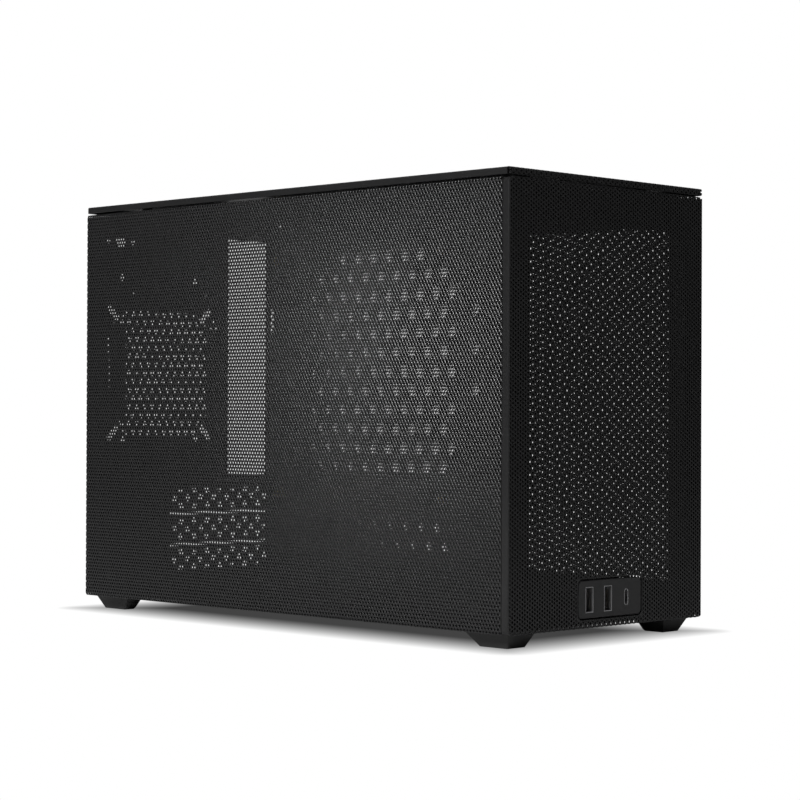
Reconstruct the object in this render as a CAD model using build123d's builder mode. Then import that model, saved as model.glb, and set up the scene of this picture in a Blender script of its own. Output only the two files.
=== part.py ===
from build123d import *
import math
import os

os.makedirs("parts", exist_ok=True)

# Small upright computer case for a mini ITX board.
# X runs across the case, the front faces -Y, Z is up from the surface that the feet stand on.

# Overall size
case_width = 167.4
case_depth = 362.0
body_height = 247.0
foot_height = 8.3

# Sheet and folds of the outer panels
panel_sheet = 0.8
panel_fold = 4.8
panel_bend = 1.2
top_skirt = 4.0
top_corner = 1.6
front_corner = 3.0
seam = 1.0
panel_gap = 0.6

# Perforated rows of the panels
row_pitch = 4.0
row_width = 1.5
plain_edge = 2.4

# Inner frame
frame_sheet = 1.0
frame_bend = 1.5
side_sill = 19.5
side_lintel = 14.0
post_depth = 21.6
end_fold = 12.0
end_fold_inset = 18.3
front_post = 15.3
front_opening_rise = 18.0
front_header = 6.0
top_border = 22.3
top_border_end = 10.0
fit_gap = 0.3

# Openings of the floor
floor_vent_length = 112.0
floor_vent_width = 6.0
floor_vent_pitch = 17.0
floor_vent_count = 6
floor_vent_y = -82.0
floor_window_width = 21.0
floor_window_length = 84.0
floor_window_inset = 34.7
floor_window_y = 48.0

# Board wall and the rear openings
board_inset = 11.1
board_wall_length = 234.8
standoff_height = 6.35
standoff_flats = 5.5
board_thread = 1.5
board_hole_depth = 154.94
board_hole_height = 157.48
board_rear_holes = 12.3
board_low_holes = 62.0
io_width = 44.45
io_height = 158.75
io_low = 74.5
io_clear = 4.1
io_lip = 11.0

# Fan vent of the rear wall
fan_shift = 4.325
fan_z = 142.0
fan_vent_half = 35.0
fan_slot_inner = 71.5
fan_slot_travel = 11.5
fan_slot_width = 4.6
fan_slot_margin = 1.5
fan_vent_pitch = 10.0
fan_vent_hole = 8.0

# Hexagonal vents of the board wall
wall_vent_pitch = 13.86
wall_vent_row = 12.4
wall_vent_hole = 8.0
wall_vent_inset = 45.1
wall_vent_length = 124.7
wall_vent_top = 218.5
wall_vent_low = 82.1
wall_vent_foot = 32.5
wall_screw_inset = 3.0
wall_screw_steps = (58.3, 178.3)
wall_tab_height = 18.0
wall_tab_reach = 26.0

# Openings for cables near the front edge and at the rear edge of the board wall
cable_column = 38.0
cable_vent_z = 157.3
cable_slot_z = 145.4
cable_slot_span = 123.5
cable_slot_pitch = 23.5
cable_slot_width = 5.0
cable_slot_height = 8.6
edge_slit_z = 179.4
edge_slit_height = 16.0
edge_slit_width = 3.4

# Expansion slots
slot_pitch = 20.32
slot_count = 3
slot_top_z = 60.3
slot_length = 95.5
slot_recess = 9.0
slot_ledge = 3.0
slot_wall = 1.2
cage_flange = 12.4
cover_width = 18.4
cover_sheet = 0.8
cover_bend = 0.4
cover_vent_hole = 4.4
cover_vent_pitch = 11.2
cover_vent_row = 5.1
cover_vent_columns = 8

# Power inlet, antenna hole and button
inlet_inset = 30.85
inlet_drop = 27.7
inlet_screw_span = 40.0
inlet_body_width = 27.4
inlet_body_height = 20.0
inlet_depth = 21.0
inlet_recess = 17.0
inlet_flange = 3.0
antenna_inset = 24.8
antenna_drop = 20.4
antenna_diameter = 8.4
antenna_screw_span = 20.2
button_inset = 9.3
button_drop = 43.5
button_diameter = 7.2
button_clearance = 0.3
button_travel = 1.2
button_stand = 1.2
switch_screw_span = 20.0
switch_width = 12.0
switch_length = 27.0
switch_depth = 12.0
switch_floor = 2.0

# Port plate on the front
bezel_x = 0.9
bezel_z = 15.5
bezel_width = 54.0
bezel_height = 20.5
bezel_corner = 2.6
bezel_gap = 0.6
bezel_thickness = 2.4
port_spacing = 15.9
port_offset = -1.6
usb_a_width = 6.6
usb_a_height = 14.0
usb_a_length = 18.0
usb_c_width = 3.4
usb_c_height = 9.2
usb_c_length = 10.0
port_shell = 0.4
port_board_sheet = 1.6
port_board_length = 26.0

# Pins and clips that hold the panels
pin_diameter = 4.0
pin_shoulder = 6.4
pin_reach = 7.0
pin_clearance = 0.3
clip_size = 8.4
clip_depth = 5.0
pin_inset = 8.0
top_pin_x = 50.0

# Feet
foot_outer_x = 10.2
foot_outer_y = 9.3
foot_rear_y = 8.1
foot_length = 20.0
foot_width = 14.0
foot_cut = 7.0
foot_side_slope = 4.8
foot_end_slope = 9.2
foot_screw_recess = 8.0
foot_screw_depth = 5.0

# Screws
screw_head = 5.6
screw_head_height = 1.4
screw_shank = 3.0
screw_clearance = 0.2
frame_screw_x = 45.0

# Heights and faces that follow from the sizes above
body_low = foot_height
body_high = foot_height + body_height
panel_high = body_high - top_skirt - seam
panel_height = panel_high - body_low
half_width = case_width / 2
half_depth = case_depth / 2
inset = panel_sheet + panel_gap
board_plane = half_width - board_inset
frame_half = half_width - inset
frame_low = body_low + inset
frame_high = panel_high - inset
frame_height = frame_high - frame_low
frame_mid = (frame_low + frame_high) / 2
frame_front = -half_depth + inset
frame_back = half_depth - inset
sill_z = body_low + side_sill
lintel_z = frame_high - side_lintel
floor_z = frame_low + frame_sheet
ceiling_z = frame_high - frame_sheet
front_inner = frame_front + frame_sheet
back_inner = frame_back - frame_sheet
end_fold_half = frame_half - end_fold_inset
wall_rear = back_inner - fit_gap
board_wall_front = wall_rear - board_wall_length
io_left = board_plane - io_clear - io_width
slot_right = board_plane - io_clear
slot_left = slot_right - slot_length
fan_x = (io_left - frame_half) / 2 + fan_shift
inlet_x = io_left - inlet_inset
inlet_height = body_high - inlet_drop
antenna_x = antenna_inset - frame_half
antenna_height = body_high - antenna_drop
button_x = button_inset - frame_half
button_height = body_high - button_drop
side_panel_front = -half_depth + panel_fold + panel_gap
screw_hole = screw_shank / 2 + screw_clearance
frame_screw_y = back_inner - end_fold / 2
foot_screw_x = half_width - foot_outer_x - foot_width / 2
foot_screw_ys = (-half_depth + foot_outer_y + foot_length / 2, half_depth - foot_rear_y - foot_length / 2)
frame_screw_spots = [(x, y) for x in (-frame_screw_x, frame_screw_x) for y in (-frame_screw_y, frame_screw_y)]
wall_screw_spots = [(board_plane + wall_screw_inset, wall_rear - step) for step in wall_screw_steps]
foot_screw_spots = [(x, y) for x in (-foot_screw_x, foot_screw_x) for y in foot_screw_ys]


def save(part, label):
    """Label a finished piece and write it as one file of the same name."""
    part.label = label
    export_step(part, "parts/" + label + ".step")


def row_count(span):
    """How many rows fit in a span that keeps its plain edges."""
    return int((span - 2 * plain_edge) / row_pitch)


def hexagon_points(columns, rows, pitch, row_step):
    """Centres of a staggered field: every second row is half a pitch over and one hole shorter."""
    points = []
    for row in range(rows):
        short = row % 2
        for column in range(columns - short):
            across = (column - (columns - 1 - short) / 2) * pitch
            up = ((rows - 1) / 2 - row) * row_step
            points.append((across, up))
    return points


# Left and right panels: a perforated face folded inwards at the top, the bottom and the rear


def side_panel(side):
    """A side panel; side is -1 for the left one and +1 for the right one."""
    length = half_depth - side_panel_front
    middle_y = (half_depth + side_panel_front) / 2
    middle_z = (body_low + panel_high) / 2
    with BuildPart() as panel:
        with BuildSketch(Plane.YZ.offset(side * half_width)):
            with Locations((middle_y, middle_z)):
                Rectangle(length, panel_height)
        extrude(amount=-side * panel_fold)
        outer = panel.faces().sort_by(Axis.X)[0 if side < 0 else -1]
        fillet(outer.edges().sort_by(Axis.Y)[1:], radius=panel_bend)
        open_face = panel.faces().sort_by(Axis.X)[-1 if side < 0 else 0]
        front_face = panel.faces().sort_by(Axis.Y)[0]
        offset(amount=-panel_sheet, openings=[open_face, front_face])
        with BuildSketch(Plane.YZ.offset(side * half_width)):
            with Locations((middle_y, middle_z)):
                with GridLocations(length, row_pitch, 1, row_count(panel_height)):
                    Rectangle(length - 2 * plain_edge, row_width)
        extrude(amount=-side * panel_sheet, mode=Mode.SUBTRACT)
    return panel.part


save(side_panel(-1), "left_panel")
save(side_panel(1), "right_panel")

# Top panel: a shallow cap with a folded skirt on all four sides

with BuildPart() as top_panel:
    with BuildSketch(Plane.XY.offset(body_high - top_skirt)):
        RectangleRounded(case_width, case_depth, top_corner)
    extrude(amount=top_skirt)
    fillet(top_panel.faces().sort_by(Axis.Z)[-1].edges(), radius=panel_bend)
    offset(amount=-panel_sheet, openings=top_panel.faces().sort_by(Axis.Z)[0])
    with BuildSketch(Plane.XY.offset(body_high)):
        with GridLocations(row_pitch, case_depth, row_count(case_width), 1):
            Rectangle(row_width, case_depth - 2 * plain_edge)
    extrude(amount=-panel_sheet, mode=Mode.SUBTRACT)
save(top_panel.part, "top_panel")

# Front panel: a perforated face with a plain fold down each side and rounded corners

front_middle_z = (body_low + panel_high) / 2
with BuildPart() as front_panel:
    with BuildSketch(Plane.XY.offset(body_low)):
        with Locations((0, -half_depth + panel_fold / 2)):
            Rectangle(case_width, panel_fold)
    extrude(amount=panel_height)
    front_face = front_panel.faces().sort_by(Axis.Y)[0]
    fillet(front_face.edges().filter_by(Axis.Z), radius=panel_bend)
    back_face = front_panel.faces().sort_by(Axis.Y)[-1]
    low_face = front_panel.faces().sort_by(Axis.Z)[0]
    high_face = front_panel.faces().sort_by(Axis.Z)[-1]
    offset(amount=-panel_sheet, openings=[back_face, low_face, high_face])
    with BuildSketch(Plane.XZ.offset(half_depth)):
        with Locations((0, front_middle_z)):
            RectangleRounded(case_width, panel_height, front_corner)
    extrude(amount=-panel_fold, mode=Mode.INTERSECT)
    with BuildSketch(Plane.XZ.offset(half_depth)):
        with Locations((0, front_middle_z)):
            with GridLocations(row_pitch, panel_height, row_count(case_width), 1):
                Rectangle(row_width, panel_height - 2 * plain_edge)
        with Locations((bezel_x, body_low + bezel_z)):
            Rectangle(bezel_width + 2 * plain_edge, bezel_height + 2 * plain_edge, mode=Mode.SUBTRACT)
            RectangleRounded(bezel_width + 2 * bezel_gap, bezel_height + 2 * bezel_gap, bezel_corner + bezel_gap)
    extrude(amount=-panel_sheet, mode=Mode.SUBTRACT)
save(front_panel.part, "front_panel")

# Base and top frames: channels with their flanges towards the middle of the case


def round_folds(profile, outer, inner):
    """Round a folded profile at its outer and inner corners, given as groups along its own Y."""
    fillet(profile.vertices().group_by(Axis.Y)[inner], radius=frame_bend - frame_sheet)
    fillet(profile.vertices().group_by(Axis.Y)[outer], radius=frame_bend)


def channel(low, high, opens_up):
    """Folded channel along Y between two heights; opens_up says where its flanges point."""
    shift = frame_sheet if opens_up else -frame_sheet
    with BuildPart() as sheet:
        with BuildSketch(Plane.XZ) as profile:
            with Locations((0, (low + high) / 2)):
                Rectangle(2 * frame_half, high - low)
            with Locations((0, (low + high) / 2 + shift)):
                Rectangle(2 * (frame_half - frame_sheet), high - low, mode=Mode.SUBTRACT)
            if opens_up:
                round_folds(profile, 0, 1)
            else:
                round_folds(profile, -1, -2)
        extrude(amount=(back_inner - front_inner) / 2, both=True)
    return sheet.part


pin_y = half_depth - 24.0
side_pin_low = body_low + 13.0
side_pin_high = lintel_z + side_lintel / 2 - 0.6
pin_hole = pin_diameter / 2 + pin_clearance
top_pin_y = back_inner - end_fold - 5.0
side_spots = [(y, z) for y in (-pin_y, pin_y) for z in (side_pin_low, side_pin_high)]
front_pin_x = frame_half - pin_inset
front_spots = [(x, z) for x in (-front_pin_x, front_pin_x) for z in (side_pin_low, side_pin_high)]
top_spots = [(x, y) for x in (-top_pin_x, top_pin_x) for y in (-top_pin_y, top_pin_y)]

base_channel = channel(frame_low, sill_z, True)
with BuildPart() as base_frame:
    add(base_channel)
    with BuildSketch(Plane.XY.offset(frame_low)):
        # Long vents under the front half
        with Locations((0, floor_vent_y)):
            with GridLocations(floor_vent_pitch, floor_vent_length, floor_vent_count, 1):
                Rectangle(floor_vent_width, floor_vent_length)
        # Window beside the foot of the board wall
        with Locations((half_width - floor_window_inset, floor_window_y)):
            Rectangle(floor_window_width, floor_window_length)
        with Locations(*frame_screw_spots, *wall_screw_spots, *foot_screw_spots):
            Circle(screw_hole)
    extrude(amount=frame_sheet, mode=Mode.SUBTRACT)
    with BuildSketch(Plane.YZ):
        with Locations((0, side_pin_low)):
            with GridLocations(2 * pin_y, 10, 2, 1):
                Circle(pin_hole)
    extrude(amount=frame_half, both=True, mode=Mode.SUBTRACT)
save(base_frame.part, "base_frame")

top_channel = channel(lintel_z, frame_high, False)
top_opening_half = frame_half - top_border
top_opening_length = 2 * (back_inner - end_fold - top_border_end)
with BuildPart() as top_frame:
    add(top_channel)
    with BuildSketch(Plane.XY.offset(frame_high)):
        RectangleRounded(2 * top_opening_half, top_opening_length, 6)
        with Locations(*top_spots):
            Circle(pin_hole)
        with Locations(*frame_screw_spots, *wall_screw_spots):
            Circle(screw_hole)
    extrude(amount=-frame_sheet, mode=Mode.SUBTRACT)
    with BuildSketch(Plane.YZ):
        with Locations((0, side_pin_high)):
            with GridLocations(2 * pin_y, 10, 2, 1):
                Circle(pin_hole)
    extrude(amount=frame_half, both=True, mode=Mode.SUBTRACT)
save(top_frame.part, "top_frame")

# End sheets: the front and rear walls of the frame, folded on all four sides


def end_sheet(outer_y, inward, fold_depth):
    """Upright sheet whose outer face is at outer_y and whose folds point inwards along Y."""
    outer = 0 if inward > 0 else -1
    inner = 1 if inward > 0 else -2
    with BuildPart() as sheet:
        # Plan profile: the wall with a fold down each side, between sill and lintel
        with BuildSketch(Plane.XY.offset(sill_z + fit_gap)) as plan:
            with Locations((0, outer_y + inward * fold_depth / 2)):
                Rectangle(2 * frame_half, fold_depth)
            with Locations((0, outer_y + inward * (fold_depth / 2 + frame_sheet))):
                Rectangle(2 * (frame_half - frame_sheet), fold_depth, mode=Mode.SUBTRACT)
            round_folds(plan, outer, inner)
        extrude(amount=lintel_z - sill_z - 2 * fit_gap)
        # Side profile: the wall with a fold over the floor and one under the ceiling
        with BuildSketch(Plane.ZY.offset(-end_fold_half)) as side:
            with Locations((frame_mid, outer_y + inward * end_fold / 2)):
                Rectangle(frame_height - 2 * frame_sheet, end_fold)
            with Locations((frame_mid, outer_y + inward * (end_fold / 2 + frame_sheet))):
                Rectangle(frame_height - 4 * frame_sheet, end_fold, mode=Mode.SUBTRACT)
            round_folds(side, outer, inner)
        extrude(amount=2 * end_fold_half)
        # Flat wall out to the corners of the frame
        with BuildSketch(Plane.XZ.offset(-outer_y)):
            with Locations((0, frame_mid)):
                Rectangle(2 * (frame_half - frame_bend), frame_height)
                with GridLocations(10, frame_height, 1, 2):
                    Rectangle(2 * end_fold_half, 2 * (frame_bend + frame_sheet), mode=Mode.SUBTRACT)
        extrude(amount=-inward * frame_sheet)
        # Screw holes in both folds
        with BuildSketch(Plane.XY.offset(floor_z)):
            with Locations((-frame_screw_x, -inward * frame_screw_y), (frame_screw_x, -inward * frame_screw_y)):
                Circle(screw_hole)
        extrude(amount=ceiling_z - floor_z, mode=Mode.SUBTRACT)
    return sheet.part


front_opening_half = frame_half - front_post
front_opening_low = body_low + front_opening_rise
front_opening_high = lintel_z - front_header
notch_half = bezel_width / 2 + 4
notch_low = body_low + 4.6
front_sheet = end_sheet(frame_front, 1, post_depth)
with BuildPart() as front_frame:
    add(front_sheet)
    with BuildSketch(Plane.XZ.offset(-frame_front)):
        with Locations((0, (front_opening_low + front_opening_high) / 2)):
            RectangleRounded(2 * front_opening_half, front_opening_high - front_opening_low, 4)
        with Locations((bezel_x, (notch_low + front_opening_low + 5) / 2)):
            Rectangle(2 * notch_half, front_opening_low + 5 - notch_low)
        with Locations(*front_spots):
            Circle(pin_hole)
    extrude(amount=-frame_sheet, mode=Mode.SUBTRACT)
save(front_frame.part, "front_frame")

# Rear wall

io_x = board_plane - io_clear - io_width / 2
io_z = body_low + io_low + io_height / 2
cage_left = slot_left - frame_sheet
cage_right = slot_right + frame_sheet
cage_low = body_low + slot_top_z - (slot_count - 1) * slot_pitch - slot_pitch / 2 - slot_wall
cage_high = body_low + slot_top_z + slot_pitch / 2 + slot_wall
cage_x = (cage_left + cage_right) / 2
cage_width = cage_right - cage_left
edge_slit_height_z = body_low + edge_slit_z
rear_sheet = end_sheet(frame_back, -1, end_fold)
with BuildPart() as rear_panel:
    add(rear_sheet)
    # Folded lip beside the I/O opening
    with BuildSketch(Plane.XZ.offset(-back_inner)):
        with Locations((io_x - io_width / 2 - frame_sheet / 2, io_z)):
            Rectangle(frame_sheet, io_height)
    extrude(amount=io_lip)
    with BuildSketch(Plane.XZ.offset(-frame_back)):
        with Locations((io_x, io_z)):
            Rectangle(io_width, io_height)
        with Locations((cage_x, (cage_low + cage_high) / 2)):
            Rectangle(cage_width, cage_high - cage_low)
        # Power inlet, its screws, the button and the screws of its switch
        with Locations((inlet_x, inlet_height)):
            RectangleRounded(inlet_body_width + 2 * fit_gap, inlet_body_height + 2 * fit_gap, 2)
            with GridLocations(inlet_screw_span, 10, 2, 1):
                Circle(screw_hole)
        with Locations((button_x, button_height)):
            Circle(button_diameter / 2 + button_clearance)
            with GridLocations(10, switch_screw_span, 1, 2):
                Circle(screw_hole)
        # Open hole for an antenna, with a screw hole on each side
        with Locations((antenna_x, antenna_height)):
            Circle(antenna_diameter / 2)
            with GridLocations(antenna_screw_span, 10, 2, 1):
                Circle(screw_hole)
        # Slit beside the edge of the board wall
        with Locations((board_plane + edge_slit_width / 2, edge_slit_height_z)):
            Rectangle(edge_slit_width, edge_slit_height)
        # Fan vent, kept off the slots for the fan's screws
        with Locations((fan_x, body_low + fan_z)):
            rows = int(2 * fan_vent_half / (fan_vent_pitch * math.sqrt(3) / 2)) + 1
            columns = int(2 * fan_vent_half / fan_vent_pitch) + 1
            with Locations(*hexagon_points(columns, rows, fan_vent_pitch, fan_vent_pitch * math.sqrt(3) / 2)):
                RegularPolygon(fan_vent_hole / 2, 6, major_radius=False, rotation=30)
        # Diagonal slots take the screws of two fan sizes
        fan_slot_radius = (2 * fan_slot_inner + fan_slot_travel) / 4 * math.sqrt(2)
        fan_slot_length = fan_slot_travel / math.sqrt(2) + fan_slot_width
        with Locations((fan_x, body_low + fan_z)):
            with PolarLocations(fan_slot_radius, 4, start_angle=45):
                Rectangle(
                    fan_slot_length + 2 * fan_slot_margin,
                    fan_slot_width + 2 * fan_slot_margin,
                    mode=Mode.SUBTRACT,
                )
                SlotOverall(fan_slot_length, fan_slot_width)
    extrude(amount=frame_sheet, mode=Mode.SUBTRACT)
save(rear_panel.part, "rear_panel")

# Board wall: carries the main board on its standoffs, folded towards the right panel at both ends

wall_fold = frame_half - frame_bend - fit_gap - board_plane
vent_rows = int((wall_vent_top - wall_vent_low) / wall_vent_row + 0.01) + 1
vent_columns = int(wall_vent_length / wall_vent_pitch) + 2
vent_y = wall_rear - wall_vent_inset - wall_vent_length / 2
vent_z = body_low + wall_vent_top - (vent_rows - 1) * wall_vent_row / 2
vent_top = (vent_rows - 1) / 2 * wall_vent_row
vent_field = hexagon_points(vent_columns, vent_rows, wall_vent_pitch, wall_vent_row)
# The upper corners of the field stay closed beside the standoffs
vent_field = [(y, z) for y, z in vent_field if z < vent_top - 1 or abs(y) < 3 * wall_vent_pitch]
with BuildPart() as board_wall:
    with BuildSketch(Plane.XZ.offset(-wall_rear)) as wall_profile:
        with Locations((board_plane + wall_fold / 2, frame_mid)):
            Rectangle(wall_fold, ceiling_z - floor_z)
        with Locations((board_plane + wall_fold / 2 + frame_sheet, frame_mid)):
            Rectangle(wall_fold, ceiling_z - floor_z - 2 * frame_sheet, mode=Mode.SUBTRACT)
        fillet(wall_profile.vertices().group_by(Axis.X)[1], radius=frame_bend - frame_sheet)
        fillet(wall_profile.vertices().group_by(Axis.X)[0], radius=frame_bend)
    extrude(amount=board_wall_length)
    # Tab along the floor with a slanted front end
    with BuildSketch(Plane.YZ.offset(board_plane)):
        with BuildLine():
            Polyline(
                (board_wall_front, floor_z + frame_bend),
                (board_wall_front, floor_z + wall_tab_height),
                (board_wall_front - wall_tab_reach * 0.65, floor_z + wall_tab_height),
                (board_wall_front - wall_tab_reach, floor_z + wall_tab_height / 2),
                (board_wall_front - wall_tab_reach, floor_z + frame_bend),
                close=True,
            )
        make_face()
    extrude(amount=frame_sheet)
    with BuildSketch(Plane.YZ.offset(board_plane)):
        with Locations((vent_y, vent_z)):
            with Locations(*vent_field):
                RegularPolygon(wall_vent_hole / 2, 6, major_radius=False)
        # Two rows below the lower standoffs
        with Locations((vent_y, body_low + wall_vent_foot + wall_vent_row / 2)):
            for up, along in ((1, 1), (-1, -1)):
                with Locations((along * wall_vent_pitch / 4, up * wall_vent_row / 2)):
                    with GridLocations(wall_vent_pitch, 10, vent_columns - 1, 1):
                        RegularPolygon(wall_vent_hole / 2, 6, major_radius=False)
        # Openings for cables near the front edge
        cable_y = board_wall_front + cable_column
        with Locations((cable_y, body_low + cable_slot_z)):
            with GridLocations(10, cable_slot_span, 1, 2):
                with GridLocations(10, cable_slot_pitch, 1, 2):
                    Rectangle(cable_slot_width, cable_slot_height)
        with Locations((cable_y, body_low + cable_vent_z)):
            with Locations(*hexagon_points(2, 5, wall_vent_pitch, wall_vent_row)):
                RegularPolygon(wall_vent_hole / 2, 6, major_radius=False)
        # Notch in the rear edge, in line with the slit of the rear wall
        with Locations((wall_rear, edge_slit_height_z)):
            Rectangle(3 * edge_slit_width, edge_slit_height + 2 * fit_gap)
    extrude(amount=frame_sheet, mode=Mode.SUBTRACT)
    with BuildSketch(Plane.XY.offset(floor_z)):
        with Locations(*wall_screw_spots):
            Circle(screw_hole)
    extrude(amount=ceiling_z - floor_z, mode=Mode.SUBTRACT)
save(board_wall.part, "board_wall")

# Threaded standoffs for the main board

board_hole_y = back_inner - board_rear_holes - board_hole_depth / 2
board_hole_z = body_low + board_low_holes + board_hole_height / 2
with BuildPart() as standoffs:
    with BuildSketch(Plane.YZ.offset(board_plane)):
        with Locations((board_hole_y, board_hole_z)):
            with GridLocations(board_hole_depth, board_hole_height, 2, 2):
                RegularPolygon(standoff_flats / 2, 6, major_radius=False, rotation=30)
                Circle(board_thread, mode=Mode.SUBTRACT)
    extrude(amount=-standoff_height)
save(standoffs.part, "standoffs")

# Slot cage: a recess for the expansion slots, seated behind its opening in the rear wall

cage_z = (cage_low + cage_high) / 2
cage_height = cage_high - cage_low
cage_back = back_inner - slot_recess
slot_centres = [body_low + slot_top_z - slot_pitch * number for number in range(slot_count)]
window_x = (slot_left + slot_right) / 2
window_length = slot_length - 2 * slot_ledge
window_z = (slot_centres[0] + slot_centres[-1]) / 2
window_height = slot_centres[0] - slot_centres[-1] + cover_width - 2 * slot_ledge
tab_screw_y = cage_back + frame_sheet + 4.0
tab_spots = [(tab_screw_y, z) for z in slot_centres]
with BuildPart() as slot_cage:
    with BuildSketch(Plane.XZ.offset(-back_inner)):
        with Locations((cage_x, cage_z)):
            Rectangle(cage_width, cage_height)
    extrude(amount=slot_recess)
    with BuildSketch(Plane.XZ.offset(-back_inner)):
        with Locations((cage_x, cage_z)):
            Rectangle(cage_width - 2 * frame_sheet, cage_height - 2 * frame_sheet)
    extrude(amount=slot_recess - frame_sheet, mode=Mode.SUBTRACT)
    # Flange behind the rear wall, with one slanted corner
    with BuildSketch(Plane.XZ.offset(-back_inner)):
        with BuildLine():
            Polyline(
                (cage_left, cage_low),
                (cage_left, cage_high),
                (cage_left - cage_flange * 0.4, cage_high),
                (cage_left - cage_flange, cage_high - cage_flange * 0.6),
                (cage_left - cage_flange, cage_low),
                close=True,
            )
        make_face()
    extrude(amount=frame_sheet)
    with BuildSketch(Plane.XZ.offset(-cage_back)):
        with Locations((window_x, window_z)):
            Rectangle(window_length, window_height)
    extrude(amount=-frame_sheet, mode=Mode.SUBTRACT)
    with BuildSketch(Plane.YZ.offset(cage_left)):
        with Locations(*tab_spots):
            Circle(screw_hole)
    extrude(amount=frame_sheet, mode=Mode.SUBTRACT)
save(slot_cage.part, "slot_cage")

# Slot covers: vented strips with a folded tab at the screw end

cover_length = slot_right - slot_left - fit_gap
cover_face = cage_back + frame_sheet
tab_depth = slot_recess - frame_sheet - 1.2


def slot_cover(centre_z):
    """A slot cover whose middle is at the given height."""
    with BuildPart() as cover:
        with BuildSketch(Plane.XY.offset(centre_z - cover_width / 2)) as profile:
            with Locations((slot_left + cover_length / 2, cover_face + tab_depth / 2)):
                Rectangle(cover_length, tab_depth)
            with Locations((slot_left + cover_length / 2 + cover_sheet, cover_face + tab_depth / 2 + cover_sheet)):
                Rectangle(cover_length, tab_depth, mode=Mode.SUBTRACT)
            fillet(profile.vertices().group_by(Axis.X)[1].sort_by(Axis.Y)[0], radius=cover_bend)
            fillet(profile.vertices().group_by(Axis.X)[0].sort_by(Axis.Y)[0], radius=cover_bend + cover_sheet)
        extrude(amount=cover_width)
        with BuildSketch(Plane.XZ.offset(-cover_face)):
            with Locations((window_x, centre_z)):
                with GridLocations(cover_vent_pitch, cover_vent_row, cover_vent_columns, 1):
                    RegularPolygon(cover_vent_hole / 2, 6, major_radius=False, rotation=30)
                with GridLocations(cover_vent_pitch, 2 * cover_vent_row, cover_vent_columns - 1, 2):
                    RegularPolygon(cover_vent_hole / 2, 6, major_radius=False, rotation=30)
        extrude(amount=-cover_sheet, mode=Mode.SUBTRACT)
        with BuildSketch(Plane.YZ.offset(slot_left)):
            with Locations((tab_screw_y, centre_z)):
                Circle(screw_hole)
        extrude(amount=cover_sheet, mode=Mode.SUBTRACT)
    return cover.part


for number, centre_z in enumerate(slot_centres):
    save(slot_cover(centre_z), "slot_cover_" + str(number + 1))

# Power inlet: a moulded body with a flange behind the rear wall and three blades in its recess

inlet_back = frame_back - inlet_depth
recess_floor = frame_back - inlet_recess
blade_length = inlet_recess - 4.6
with BuildPart() as power_inlet:
    with BuildSketch(Plane.XZ.offset(-frame_back)):
        with Locations((inlet_x, inlet_height)):
            RectangleRounded(inlet_body_width, inlet_body_height, 1.7)
    extrude(amount=inlet_depth)
    with BuildSketch(Plane.XZ.offset(-back_inner)):
        with Locations((inlet_x, inlet_height)):
            RectangleRounded(inlet_screw_span + 10, inlet_body_height + 4, 4)
            with GridLocations(inlet_screw_span, 10, 2, 1):
                Circle(screw_hole, mode=Mode.SUBTRACT)
    extrude(amount=inlet_flange)
    with BuildSketch(Plane.XZ.offset(-frame_back)) as recess:
        with Locations((inlet_x, inlet_height)):
            Rectangle(inlet_body_width - 3.4, inlet_body_height - 3.5)
        chamfer(recess.vertices().group_by(Axis.Y)[-1], length=4)
    extrude(amount=inlet_recess, mode=Mode.SUBTRACT)
save(power_inlet.part, "power_inlet")

with BuildPart() as inlet_blades:
    with BuildSketch(Plane.XZ.offset(-recess_floor)):
        with Locations((inlet_x - 7, inlet_height - 2), (inlet_x, inlet_height + 2), (inlet_x + 7, inlet_height - 2)):
            Rectangle(2, 4)
    extrude(amount=-blade_length)
save(inlet_blades.part, "inlet_blades")

# Power button: a plunger in the bore of its switch, behind the rear wall

switch_back = back_inner - switch_depth
plunger_back = switch_back + switch_floor + button_travel + fit_gap
with BuildPart() as button_switch:
    with BuildSketch(Plane.XZ.offset(-back_inner)):
        with Locations((button_x, button_height)):
            RectangleRounded(switch_width, switch_length, 2)
            Circle(button_diameter / 2 + button_clearance, mode=Mode.SUBTRACT)
            with GridLocations(10, switch_screw_span, 1, 2):
                Circle(screw_hole, mode=Mode.SUBTRACT)
    extrude(amount=switch_depth - switch_floor)
    with BuildSketch(Plane.XZ.offset(-switch_back)):
        with Locations((button_x, button_height)):
            RectangleRounded(switch_width, switch_length, 2)
    extrude(amount=-switch_floor)
save(button_switch.part, "button_switch")

with BuildPart() as power_button:
    with BuildSketch(Plane.XZ.offset(-plunger_back)):
        with Locations((button_x, button_height)):
            Circle(button_diameter / 2)
    extrude(amount=plunger_back - frame_back - button_stand)
    chamfer(power_button.faces().sort_by(Axis.Y)[-1].edges(), length=0.5)
save(power_button.part, "power_button")

# Port plate and its sockets, on a small circuit board that a bracket holds over the floor

bezel_height_z = body_low + bezel_z
bezel_front = -half_depth + 0.2
bezel_back = bezel_front + bezel_thickness
port_front = bezel_front + 0.2
port_centres = [bezel_x + port_offset + port_spacing * step for step in (-1, 0, 1)]
port_low = bezel_height_z - 0.3 - usb_a_height / 2
with BuildPart() as port_bezel:
    with BuildSketch(Plane.XZ.offset(-bezel_front)):
        with Locations((bezel_x, bezel_height_z)):
            RectangleRounded(bezel_width, bezel_height, bezel_corner)
        with Locations(*[(x, port_low + usb_a_height / 2) for x in port_centres[:2]]):
            Rectangle(usb_a_width + 0.2, usb_a_height + 0.2, mode=Mode.SUBTRACT)
        with Locations((port_centres[2], port_low + usb_a_height / 2)):
            SlotOverall(usb_c_height + 0.2, usb_c_width + 0.2, rotation=90, mode=Mode.SUBTRACT)
    extrude(amount=-bezel_thickness)
save(port_bezel.part, "port_bezel")


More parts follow.
